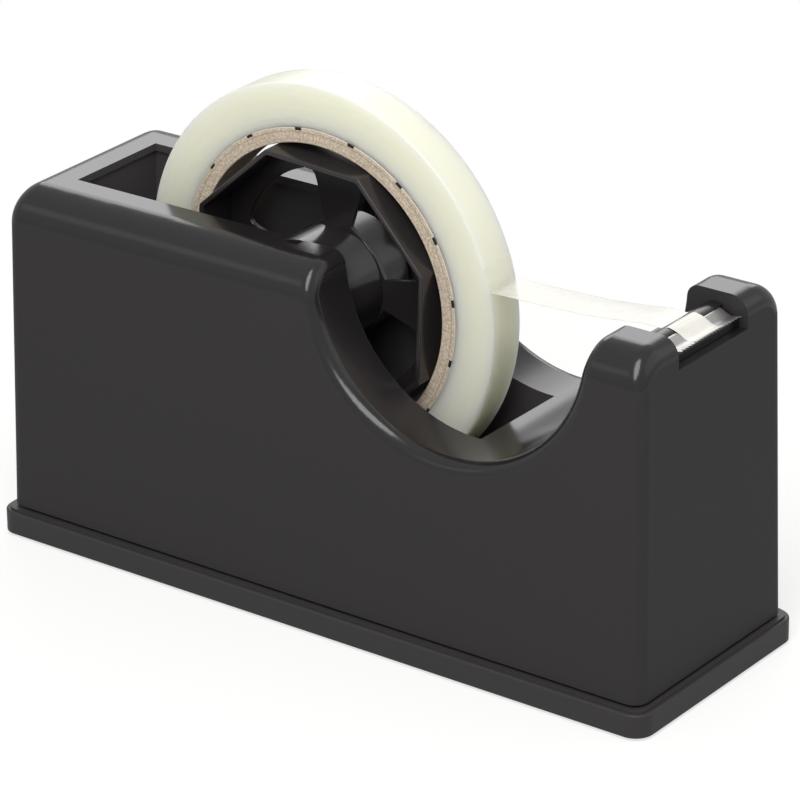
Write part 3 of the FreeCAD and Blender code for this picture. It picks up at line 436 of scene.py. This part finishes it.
def brushed_steel(name, colour, roughness, along):
    """Bright steel brushed or turned one way: long fine scratches that draw its highlights out across them.

    Real scratches are too fine to show, so these are drawn several times wider.
    """
    made, tree, shader, place = material(name)
    stretch = node(tree, "VectorMath", place, along, operation="MULTIPLY")
    scratch = node(tree, "TexNoise", inputs={"Vector": stretch, "Scale": 6.0 / MM, "Detail": 4.0,
                                             "Roughness": 0.7})
    rough = node(tree, "Math", scratch, 0.16, roughness, operation="MULTIPLY_ADD")
    relief = node(tree, "Bump", inputs={"Height": scratch, "Distance": 0.006 * MM, "Strength": 0.8})
    feed(tree, shader, {"Base Color": colour, "Metallic": 1.0, "Roughness": rough, "Normal": relief})
    return made


def zinc_plate():
    """Zinc-plated steel: a pale, slightly blue metal with a soft, mottled shine."""
    made, tree, shader, place = material("steel_zinc_plated")
    spangle = node(tree, "TexNoise", inputs={**NOISE, "Vector": place, "Scale": 1.0 / MM, "Detail": 2.0})
    rough = node(tree, "Math", spangle, 0.2, 0.25, operation="MULTIPLY_ADD")
    feed(tree, shader, {"Base Color": linear("#C2C5C8"), "Metallic": 1.0, "Roughness": rough})
    return made


def cast_iron():
    """Sand-cast iron bar: dark grey, dull, with a coarse pitted skin."""
    made, tree, shader, place = material("iron_sand_cast")
    pits = node(tree, "TexNoise", inputs={**NOISE, "Vector": place, "Scale": 0.8 / MM, "Detail": 4.0})
    relief = node(tree, "Bump", inputs={"Height": pits, "Distance": 0.15 * MM})
    feed(tree, shader, {"Base Color": linear("#5C5C5E"), "Metallic": 1.0, "Roughness": 0.6, "Normal": relief})
    return made


def soft_rubber():
    """Moulded rubber: black, without shine, very slightly dusty."""
    made, tree, shader, place = material("rubber_moulded")
    skin = node(tree, "TexNoise", inputs={**NOISE, "Vector": place, "Scale": 4.0 / MM})
    relief = node(tree, "Bump", inputs={"Height": skin, "Distance": 0.01 * MM})
    feed(tree, shader, {"Base Color": linear("#2A2A2B"), "Roughness": 0.8, "Normal": relief})
    return made


# ---------------------------------------------------------------- pieces

def wound_tape_shells(looks):
    """The wound tape: a rounded rectangle with uneven sides, turned about the axle.

    Each side is sunk by a share of the layer depth, from none of it to all: a sum of three sines of the
    radius.  The tread and the rounded edges are not sunk.
    """
    half = span("wound_tape")[1][1]
    inner, outer = outer_radius("core"), outer_radius("wound_tape")
    loop = finer(rectangle(inner, outer, -half, half, 0.5, 8), 0.16)
    radius = loop[:, 0]
    wave = np.sin(radius * 2.1) + 0.6 * np.sin(radius * 5.3 + 1.0) + 0.4 * np.sin(radius * 11.7 + 2.0)
    sink = looks.layer_depth * (wave + 2.0) / 4.0
    hair = 0.01
    on_side = np.clip((np.abs(loop[:, 1]) - half) / hair + 2.0, 0.0, 1.0)
    loop[:, 1] -= np.sign(loop[:, 1]) * sink * on_side
    return [turned(loop, 288, axle_centre())]


def core_shells():
    """The cardboard core: a rounded rectangle of its wall and width, turned about the axle."""
    half, outer = span("core")[1][1], outer_radius("core")
    loop = finer(rectangle(outer - CORE_WALL, outer, -half, half, 0.25), 1.0)
    return [turned(loop, 256, axle_centre())]


def octagon_radius(angle, power):
    """Distance from the axle to a regular octagon whose flats are 1 away, its corners a little blunted.

    Its inverse is the sum of a high power of the cosines of the angles to the eight flats, to one over that
    power: a soft nearest flat.
    """
    cosines = np.clip(np.cos(angle[:, None] - ADAPTER_FLATS[None, :]), 0.0, None)
    return 1.0 / (cosines ** power).sum(axis=1) ** (1.0 / power)


def octagon_wall(centre, apothem):
    """The adapter's eight-sided wall: a rounded cross-section carried round the octagon.

    A point at a depth under the flats lies on a smaller octagon: its radius is the octagon's radius at that
    angle times (apothem + depth, which is negative).
    """
    angle = np.linspace(0.0, TURN, 640, endpoint=False)
    loop = rectangle(-ADAPTER_WALL, 0.0, -ADAPTER_HALF, ADAPTER_HALF, ADAPTER_EDGE, 8)
    radius = octagon_radius(angle, 260.0)[:, None] * (apothem + loop[None, :, 0])
    grid = np.stack([centre[0] + radius * np.cos(angle)[:, None], loop[None, :, 1] + 0.0 * radius,
                     centre[1] + radius * np.sin(angle)[:, None]], axis=-1)
    return ring_shell(grid)


def to_lines(spot, ray, normals, limits):
    """How far each ray runs from the spot to each straight line normal . point = limit."""
    slope = ray @ normals.T
    ahead = slope > 1e-6
    return np.where(ahead, (limits - spot @ normals.T) / np.where(ahead, slope, 1.0), 1e6)


def to_circle(spot, ray, radius):
    """How far each ray runs from the spot to a circle about the origin, whether the spot is in it or not."""
    along = ray @ spot
    under = along ** 2 - spot @ spot + radius ** 2
    root = np.sqrt(np.clip(under, 0.0, None))
    if spot @ spot < radius ** 2:
        return root - along
    return np.where((under > 0.0) & (along < 0.0), -along - root, 1e6)


def web_sector(centre, middle, reach):
    """A quarter of the web round one window.

    Rays are sent out from a spot in the window.  Its edge on each is the soft minimum (the sum of the inverse
    eighth powers, to the power -1/8) of the distances to an outer arc, an inner arc and two radial lines, so
    that its corners come out round.  The sheet runs from there to the nearest of the octagon's flats, the two
    radial lines an eighth of a turn to each side, and the sleeve.  It is flat-shaded, so that the quarters
    join without a line.
    """
    angle = np.linspace(0.0, TURN, 256, endpoint=False)
    ray = np.stack([np.cos(angle), np.sin(angle)], axis=-1)
    spot = WINDOW_SPOT * np.array([math.cos(middle), math.sin(middle)])

    def facing(directions):
        """Unit vectors at these angles."""
        return np.stack([np.cos(directions), np.sin(directions)], axis=-1)

    def sides(spread):
        """Normals of the two radial lines at this angle to either side of the middle."""
        return facing(middle + np.array([spread + TURN / 4.0, -spread - TURN / 4.0]))

    window = np.column_stack([to_circle(spot, ray, WINDOW_OUTER), to_circle(spot, ray, WINDOW_INNER),
                              to_lines(spot, ray, sides(WINDOW_SPREAD), np.zeros(2))])
    window = ((1.0 / window) ** 8).sum(axis=1) ** (-1.0 / 8.0)
    limits = np.column_stack([to_lines(spot, ray, facing(ADAPTER_FLATS), np.full(8, reach)),
                              to_lines(spot, ray, sides(TURN / 8.0), np.zeros(2)),
                              to_circle(spot, ray, WEB_ROOT)])
    edge = np.maximum(limits.min(axis=1), window + 0.3)
    turn = np.linspace(0.0, TURN / 4.0, 4)
    back, down = WEB_EDGE * (1 - np.cos(turn)), WEB_EDGE * (1 - np.sin(turn))
    outward = np.array([0.2, 0.4, 0.6, 0.8, 1.0])
    # In cross-section: round the window's edge, then out along the far face and back along the near one.
    inset = np.concatenate([back[::-1], back, np.zeros(10)])
    share = np.concatenate([np.zeros(8), outward, outward[::-1]])
    across = np.concatenate([WEB_NEAR + down[::-1], WEB_FAR - down,
                             np.full(5, WEB_FAR), np.full(5, WEB_NEAR)])
    distance = window[:, None] + inset + (edge - window)[:, None] * share - inset * share
    grid = np.stack([centre[0] + spot[0] + distance * ray[:, :1], across[None, :] + 0.0 * distance,
                     centre[1] + spot[1] + distance * ray[:, 1:]], axis=-1)
    return (*ring_shell(grid), False)


def adapter_shells():
    """The core adapter: eight-sided wall, web with four windows between four spokes, and the sleeve.

    Its highest corner stands a sixteenth of a turn and the adapter's lean off the upright, so the radius of
    its corners is the height of the box over the axle divided by the cosine of that angle.
    """
    low, high = span("core_adapter")
    centre = axle_centre()
    corner = outer_radius("core_adapter") / math.cos(TURN / 16.0 + ADAPTER_LEAN)
    apothem = corner * math.cos(TURN / 16.0)
    bore = outer_radius("spool_near") + SLEEVE_FIT
    tube = rectangle(bore, SLEEVE_RADIUS, low[1], high[1], 0.2, 6)
    shells = [octagon_wall(centre, apothem), turned(finer(tube, 2.0), 192, centre)]
    for quarter in range(4):
        middle = FIRST_WINDOW + quarter * TURN / 4.0
        shells.append(web_sector(centre, middle, apothem - ADAPTER_WALL + WEB_SUNK))
    return shells


def spool_shells(side):
    """One half of the spool: tube, web and bearing in one outline, turned about the axle."""
    name = "spool_near" if side < 0 else "spool_far"
    low, high = span(name)
    outer, width = outer_radius(name), high[1] - low[1]
    inner, end = outer - SPOOL_WALL, width - BEARING_INSET
    corners = [(outer, 0.0), (outer, width), (inner, width), (inner, SPOOL_WEB), (BEARING_RADIUS, SPOOL_WEB),
               (BEARING_RADIUS, end), (SPOOL_BORE, end), (SPOOL_BORE, 0.0)]
    loop = loop_of(corners, [0.05, 0.3, 0.3, 0.5, 0.5, 0.3, 0.2, 0.05]) * np.array([1.0, side])
    return [turned(finer(loop, 1.5), 160, axle_centre())]


def tooth_wave(across):
    """A triangle wave of the place across: 0 in the middle of a pitch and 1 at its ends."""
    return np.abs(((across / TOOTH_PITCH) % 1.0) * 2.0 - 1.0)


def blade_shells(looks):
    """The blade: a folded strip in cross-section, carried across; its front edge runs in and out as teeth.

    A point's share of the tooth is 1 at the front edge and 0 from the valley back; the front edge moves back
    by tooth depth times a triangle wave of the place across.
    """
    low, high = span("blade")
    leg_rear, tip_x, half = low[0], high[0], high[1]
    leg_front = leg_rear + BLADE_THICKNESS
    valley_x, fold = span("cutter_block")[1][0] - VALLEY_BACK, high[2]
    valley, tip = fold - VALLEY_DROP, fold - TIP_DROP
    corners = [(leg_rear, low[2]), (leg_front, low[2]), (leg_front, fold - BLADE_THICKNESS),
               (valley_x, valley - BLADE_THICKNESS), (tip_x, tip - TIP_THICKNESS), (tip_x, tip),
               (valley_x, valley), (leg_front, fold), (leg_rear, fold)]
    loop = finer(loop_of(corners, [0.08, 0.08, 0.1, 0.6, 0.02, 0.02, 0.7, 0.25, 0.28]), 0.5)
    steps_per_tooth = 12
    across = np.linspace(-half, half, int(round(2 * half / TOOTH_PITCH * steps_per_tooth)) + 1)
    wave = np.where(np.abs(across) < half - TOOTH_MARGIN, tooth_wave(across), 0.0)[:, None]
    share = np.clip((loop[:, 0] - valley_x) / (tip_x - valley_x), 0.0, 1.0)[None, :] ** 1.5
    cut = looks.tooth_depth * wave * share
    x = loop[None, :, 0] - cut
    z = loop[None, :, 1] - cut * (tip - valley) / (tip_x - valley_x)
    grid = np.stack([x, np.broadcast_to(across[:, None], x.shape), z], axis=-1)
    return [bar_shell(grid)]


def smooth_path(points, count):
    """A smooth line through points: a Catmull-Rom cubic between each pair, evaluated at even shares."""
    p = np.asarray(points, float)
    padded = np.concatenate([2 * p[:1] - p[1:2], p, 2 * p[-1:] - p[-2:-1]])
    place = np.linspace(0.0, len(p) - 1 - 1e-9, count)
    index = place.astype(int)
    t = (place - index)[:, None]
    a, b, c, d = (padded[index + k] for k in range(4))
    bend, twist = 2 * a - 5 * b + 4 * c - d, 3 * b - a - 3 * c + d
    return 0.5 * (2 * b + (c - a) * t + bend * t ** 2 + twist * t ** 3)


def free_tape_shells(looks):
    """The free tape: a thin sheet that leaves the roll, sags a little, lies over the ridge and ends at the
    teeth.

    Its edges curl down with the square of the place across, most in mid-air and not at all on the block, and
    its front edge follows the teeth that cut it.
    """
    block_front, _, block_top = span("cutter_block")[1]
    blade_front, _, blade_top = span("blade")[1]
    half, top, fold = span("free_tape")[1][1], block_top + FILM_LIFT, blade_top + FILM_LIFT
    ridge = block_front - RIDGE_BACK
    arc = np.stack([np.cos(FILM_LEAVES), np.sin(FILM_LEAVES)], axis=-1)
    hug = axle_centre() + (outer_radius("wound_tape") + FILM_LIFT) * arc
    start = hug[-1]
    run, rise = ridge - start[0], top - start[1]
    flight = np.concatenate([[start + [0.9, -0.15]], start + np.array(FILM_RISE) * [run, rise]])
    laid = [(ridge - 2.2, top - 0.5), (ridge, top), (ridge + 1.4, top - 0.2), (ridge + 2.7, fold),
            (block_front - VALLEY_BACK, fold - VALLEY_DROP), (blade_front - 0.35, fold - 0.74)]
    line = smooth_path(np.concatenate([hug, flight, laid]), 220)
    across = np.linspace(-half, half, 73)
    share = np.linspace(0.0, 1.0, len(line))
    free = np.clip((line[:, 0] - start[0]) / run, 0.0, 1.0)
    curl = looks.film_curl * np.sin(np.pi * free) ** 0.8
    in_air = np.sin(np.pi * free)[:, None]
    ripple = 0.03 * np.sin(share[:, None] * 47.0) * np.cos(across[None, :] * 0.9) * in_air
    drop = curl[:, None] * (across[None, :] / half) ** 2
    toothed = 0.025
    near_end = np.clip((share - (1.0 - toothed)) / toothed, 0.0, 1.0)[:, None]
    x = line[:, :1] - looks.tooth_depth * tooth_wave(across)[None, :] * near_end
    slope = (line[-1, 1] - line[-8, 1]) / (line[-1, 0] - line[-8, 0])
    z = line[:, 1:] - drop + ripple - slope * (line[:, :1] - x)
    upper = np.stack([x, np.broadcast_to(across[None, :], x.shape), z + FILM_THICKNESS / 2.0], axis=-1)
    lower = upper[:, ::-1] - np.array([0.0, 0.0, FILM_THICKNESS])
    return [bar_shell(np.concatenate([upper, lower], axis=1))]


# ---------------------------------------------------------------- stage

def towards(azimuth, elevation):
    """The unit vector at an azimuth from the near side towards the front, and an elevation."""
    level = math.cos(elevation)
    return Vector((math.sin(azimuth) * level, -math.cos(azimuth) * level, math.sin(elevation)))


def panel_light(name, direction, distance, size, radiance, shape="RECTANGLE"):
    """A flat light that faces the object: its power is radiance times pi times its area.

    The direction is an azimuth and an elevation in degrees; distance and size are in metres.
    """
    target = Vector((0.0, 0.0, 0.07))
    azimuth, elevation = (math.radians(value) for value in direction)
    away = towards(azimuth, elevation)
    light = bpy.data.lights.new(name, "AREA")
    light.shape = shape
    light.size, light.size_y = size
    filled = math.pi / 4.0 if shape == "ELLIPSE" else 1.0
    light.energy = radiance * math.pi * size[0] * size[1] * filled
    lamp = bpy.data.objects.new(name, light)
    bpy.context.scene.collection.objects.link(lamp)
    lamp.location = target + away * distance
    lamp.rotation_mode = "QUATERNION"
    lamp.rotation_quaternion = away.to_track_quat("Z", "Y")
    lamp.visible_camera = False


def shown_ray(tree):
    """How far a ray shows the white background: wholly to the camera or through film, partly in a reflection.

    All of that white in reflections would turn the polished black plastic milky.
    """
    ray = node(tree, "LightPath").outputs
    straight = node(tree, "Math", ray["Is Camera Ray"], ray["Is Transmission Ray"], operation="MAXIMUM")
    reflected = node(tree, "Math", ray["Is Glossy Ray"], 0.3, operation="MULTIPLY")
    return node(tree, "Math", straight, reflected, operation="MAXIMUM")


def white_room(looks):
    """A room that is plain white where the camera looks past the object and dim where it lights it."""
    world = bpy.data.worlds.new("white_room")
    world.use_nodes = True
    tree = world.node_tree
    tree.nodes.clear()
    dim = (looks.ambient, looks.ambient, looks.ambient, 1.0)
    tints = {6: dim, 7: linear("#FFFFFF")}
    tint = node(tree, "Mix", shown_ray(tree), inputs=tints, **COLOUR).outputs[2]
    node(tree, "OutputWorld", node(tree, "Background", tint, 1.0))
    bpy.context.scene.world = world


def pale_floor():
    """A wide floor in pale grey matt paint, shown to the camera as white paint that keeps the shadow.

    Close to the object the camera sees that paint with a glow of its own added; further out it is plain
    white.
    """
    made = bpy.data.materials.new("paint_matt_pale")
    made.use_nodes = True
    tree = made.node_tree
    tree.nodes.clear()
    paint = node(tree, "BsdfDiffuse", linear("#B6B6B4"))
    lit = node(tree, "BsdfDiffuse", linear("#A5A5A3"))
    glow = node(tree, "Emission", linear("#FFFFFF"), 0.66)
    close = node(tree, "AddShader", lit, glow)
    white = node(tree, "Emission", linear("#FFFFFF"), 1.0)
    place = node(tree, "TexCoord").outputs["Object"]
    away = node(tree, "VectorMath", place, operation="LENGTH").outputs[1]
    far = node(tree, "MapRange", away, 160.0 * MM, 340.0 * MM, **SMOOTH)
    shown = node(tree, "MixShader", far, close, white)
    both = node(tree, "MixShader", shown_ray(tree), paint, shown)
    node(tree, "OutputMaterial", both)
    reach = 3.0
    mesh = bpy.data.meshes.new("floor")
    corners = [(-reach, -reach, 0.0), (reach, -reach, 0.0), (reach, reach, 0.0), (-reach, reach, 0.0)]
    mesh.from_pydata(corners, [], [(0, 1, 2, 3)])
    mesh.materials.append(made)
    floor = bpy.data.objects.new("floor", mesh)
    bpy.context.scene.collection.objects.link(floor)


def studio_camera(looks):
    """A long lens looking down at the near side, turned a little about its own axis.

    It stands at the distance from the point it aims at, both in metres.
    """
    azimuth, pitch, roll = math.radians(36.83), math.radians(23.99), math.radians(-0.61)
    aim, distance = Vector((0.00446, 0.0, 0.05946)), 1.20842
    back = towards(azimuth, pitch)
    level = Vector((math.cos(azimuth), math.sin(azimuth), 0.0))
    up = back.cross(level)
    right = level * math.cos(roll) + up * math.sin(roll)
    over = up * math.cos(roll) - level * math.sin(roll)
    data = bpy.data.cameras.new("camera")
    data.lens = looks.lens
    data.sensor_width = 36.0
    data.shift_y = -0.0301
    data.clip_start, data.clip_end = 0.01, 50.0
    camera = bpy.data.objects.new("camera", data)
    bpy.context.scene.collection.objects.link(camera)
    turn = Matrix((right, over, back)).transposed().to_4x4()
    camera.matrix_world = Matrix.Translation(aim + back * distance) @ turn
    bpy.context.scene.camera = camera


# ---------------------------------------------------------------- settings, operators and panel

class DispenserLooks(bpy.types.PropertyGroup):
    """Sizes and finishes that the operators read."""

    edge_colour: bpy.props.FloatVectorProperty(
        name="Edge colour", description="Colour of the shell's polished rim, scoop and edges",
        default=linear("#252324"), size=4, subtype="COLOR", min=0.0, max=1.0)
    wall_colour: bpy.props.FloatVectorProperty(
        name="Wall colour", description="Colour of the shell's textured walls",
        default=linear("#383637"), size=4, subtype="COLOR", min=0.0, max=1.0)
    hub_colour: bpy.props.FloatVectorProperty(
        name="Hub colour", description="Colour of the core adapter and the spool",
        default=linear("#2C292A"), size=4, subtype="COLOR", min=0.0, max=1.0)
    film_colour: bpy.props.FloatVectorProperty(
        name="Film colour", description="Palest colour of the wound tape",
        default=linear("#F8F6E3"), size=4, subtype="COLOR", min=0.0, max=1.0)
    board_colour: bpy.props.FloatVectorProperty(
        name="Board colour", description="Palest colour of the cardboard core",
        default=linear("#EADBC6"), size=4, subtype="COLOR", min=0.0, max=1.0)
    rim_roughness: bpy.props.FloatProperty(
        name="Rim roughness", description="Roughness of the polished rim, scoop and horns",
        default=0.17, min=0.0, max=1.0, subtype="FACTOR")
    wall_roughness: bpy.props.FloatProperty(
        name="Wall roughness", description="Roughness of the textured walls",
        default=0.5, min=0.0, max=1.0, subtype="FACTOR")
    grain_depth: bpy.props.FloatProperty(
        name="Grain depth", description="Depth of the walls' texture in millimetres", default=0.012, min=0.0)
    layer_depth: bpy.props.FloatProperty(
        name="Layer depth", description="How far layers of the wound tape sink, in millimetres",
        default=0.05, min=0.0)
    tooth_depth: bpy.props.FloatProperty(
        name="Tooth depth", description="Depth of the blade's teeth in millimetres", default=1.1, min=0.0)
    film_curl: bpy.props.FloatProperty(
        name="Film curl", description="How far the free tape's edges curl down, in millimetres",
        default=0.35, min=0.0)
    lens: bpy.props.FloatProperty(
        name="Lens", description="Focal length of the camera", default=216.575, min=1.0,
        subtype="DISTANCE_CAMERA", unit="CAMERA")
    key_power: bpy.props.FloatProperty(
        name="Key light", description="Radiance of the overhead softbox", default=6.1, min=0.0)
    back_power: bpy.props.FloatProperty(
        name="Back light", description="Radiance of the panel behind", default=2.4, min=0.0)
    ambient: bpy.props.FloatProperty(
        name="Ambient", description="Radiance of the room", default=0.42, min=0.0)


def dress(name, made):
    """Give a frame node one material."""
    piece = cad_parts[name]
    piece.data.materials.clear()
    piece.data.materials.append(made)


def stand_for(name, shells, made, body, slot, *nodes):
    """Put a new piece in place of frame nodes: it rides with their body and hides them. The slot is not used.
    """
    piece = put_mesh(name, shells, made)
    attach(piece, body)
    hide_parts(*nodes)


class DISPENSER_OT_mouldings(bpy.types.Operator):
    """Finish the shell, base plate, cutter block and feet"""

    bl_idname = "dispenser.mouldings"
    bl_label = "Finish mouldings"

    def execute(self, context):
        looks = context.scene.dispenser_looks
        dress("housing", moulded_shell(looks))
        dress("base_plate", moulded_base())
        dress("cutter_block", polished_styrene("ABS_polished_black", linear("#212022"), 0.22))
        rubber = soft_rubber()
        for end in ("rear", "front"):
            for side in ("near", "far"):
                dress("foot_%s_%s" % (end, side), rubber)
        return {"FINISHED"}


class DISPENSER_OT_metal(bpy.types.Operator):
    """Finish the axle, screws and weights, and build the toothed blade"""

    bl_idname = "dispenser.metal"
    bl_label = "Build metal parts"

    def execute(self, context):
        looks = context.scene.dispenser_looks
        dress("base_screws", zinc_plate())
        dress("axle", brushed_steel("steel_turned", linear("#BDBDC0"), 0.18, (1.0, 8.0, 1.0)))
        iron = cast_iron()
        for name in ("weight_near", "weight_far", "weight_front"):
            dress(name, iron)
        steel = brushed_steel("stainless_strip_brushed", linear("#B9B8B6"), 0.3, (1.0, 0.06, 1.0))
        stand_for("toothed_blade", blade_shells(looks), steel, "stand", "blade_steel", "blade")
        return {"FINISHED"}


class DISPENSER_OT_hub(bpy.types.Operator):
    """Build the core adapter and the two halves of the spool"""

    bl_idname = "dispenser.hub"
    bl_label = "Build hub"

    def execute(self, context):
        looks = context.scene.dispenser_looks
        black = polished_styrene("styrene_polished_black", tuple(looks.hub_colour), 0.2)
        stand_for("adapter_moulding", adapter_shells(), black, "roll", "hub_plastic", "core_adapter")
        stand_for("spool_half_near", spool_shells(-1.0), black, "roll", "hub_plastic", "spool_near")
        stand_for("spool_half_far", spool_shells(1.0), black, "roll", "hub_plastic", "spool_far")
        return {"FINISHED"}


class DISPENSER_OT_tape(bpy.types.Operator):
    """Build the cardboard core, the wound tape and the free tape"""

    bl_idname = "dispenser.tape"
    bl_label = "Build tape"

    def execute(self, context):
        looks = context.scene.dispenser_looks
        stand_for("board_core", core_shells(), wound_board(looks), "roll", "core_card", "core")
        stand_for("tape_roll", wound_tape_shells(looks), wound_film(looks), "roll", "tape_film", "wound_tape")
        stand_for("tape_end", free_tape_shells(looks), clear_film(), "axle_set", "free_film", "free_tape")
        return {"FINISHED"}


class DISPENSER_OT_studio(bpy.types.Operator):
    """Set the room, floor, lights and camera"""

    bl_idname = "dispenser.studio"
    bl_label = "Set studio"

    def execute(self, context):
        looks = context.scene.dispenser_looks
        white_room(looks)
        pale_floor()
        panel_light("softbox_over", (25.0, 52.0), 0.95, (0.44, 1.05), looks.key_power, "ELLIPSE")
        panel_light("panel_behind", (-149.0, 27.0), 1.1, (0.85, 0.44), looks.back_power)
        panel_light("panel_front", (-40.0, 28.0), 1.6, (0.9, 0.35), 0.5)
        panel_light("panel_side", (118.0, 32.0), 1.2, (1.3, 0.9), 0.4)
        studio_camera(looks)
        scene = context.scene
        scene.view_settings.view_transform = "Standard"
        return {"FINISHED"}


class DISPENSER_PT_panel(bpy.types.Panel):
    """Sidebar panel with the settings and one button for each step"""

    bl_idname = "DISPENSER_PT_panel"
    bl_label = "Tape dispenser"
    bl_space_type = "VIEW_3D"
    bl_region_type = "UI"
    bl_category = "Dispenser"

    def draw(self, context):
        looks = context.scene.dispenser_looks
        for name in looks.bl_rna.properties.keys():
            if name not in ("rna_type", "name"):
                self.layout.prop(looks, name)
        for step in STEPS:
            self.layout.operator(step.bl_idname)


STEPS = (DISPENSER_OT_mouldings, DISPENSER_OT_metal, DISPENSER_OT_hub, DISPENSER_OT_tape, DISPENSER_OT_studio)
CLASSES = (DispenserLooks, *STEPS, DISPENSER_PT_panel)


def register():
    """Make the classes and the scene's settings known."""
    for item in CLASSES:
        bpy.utils.register_class(item)
    bpy.types.Scene.dispenser_looks = bpy.props.PointerProperty(type=DispenserLooks)


def unregister():
    """Take them away again."""
    del bpy.types.Scene.dispenser_looks
    for item in reversed(CLASSES):
        bpy.utils.unregister_class(item)


def main():
    """Build and finish everything in order."""
    register()
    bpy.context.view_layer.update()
    bpy.ops.dispenser.mouldings()
    bpy.ops.dispenser.metal()
    bpy.ops.dispenser.hub()
    bpy.ops.dispenser.tape()
    bpy.ops.dispenser.studio()


if __name__ == "__main__":
    main()
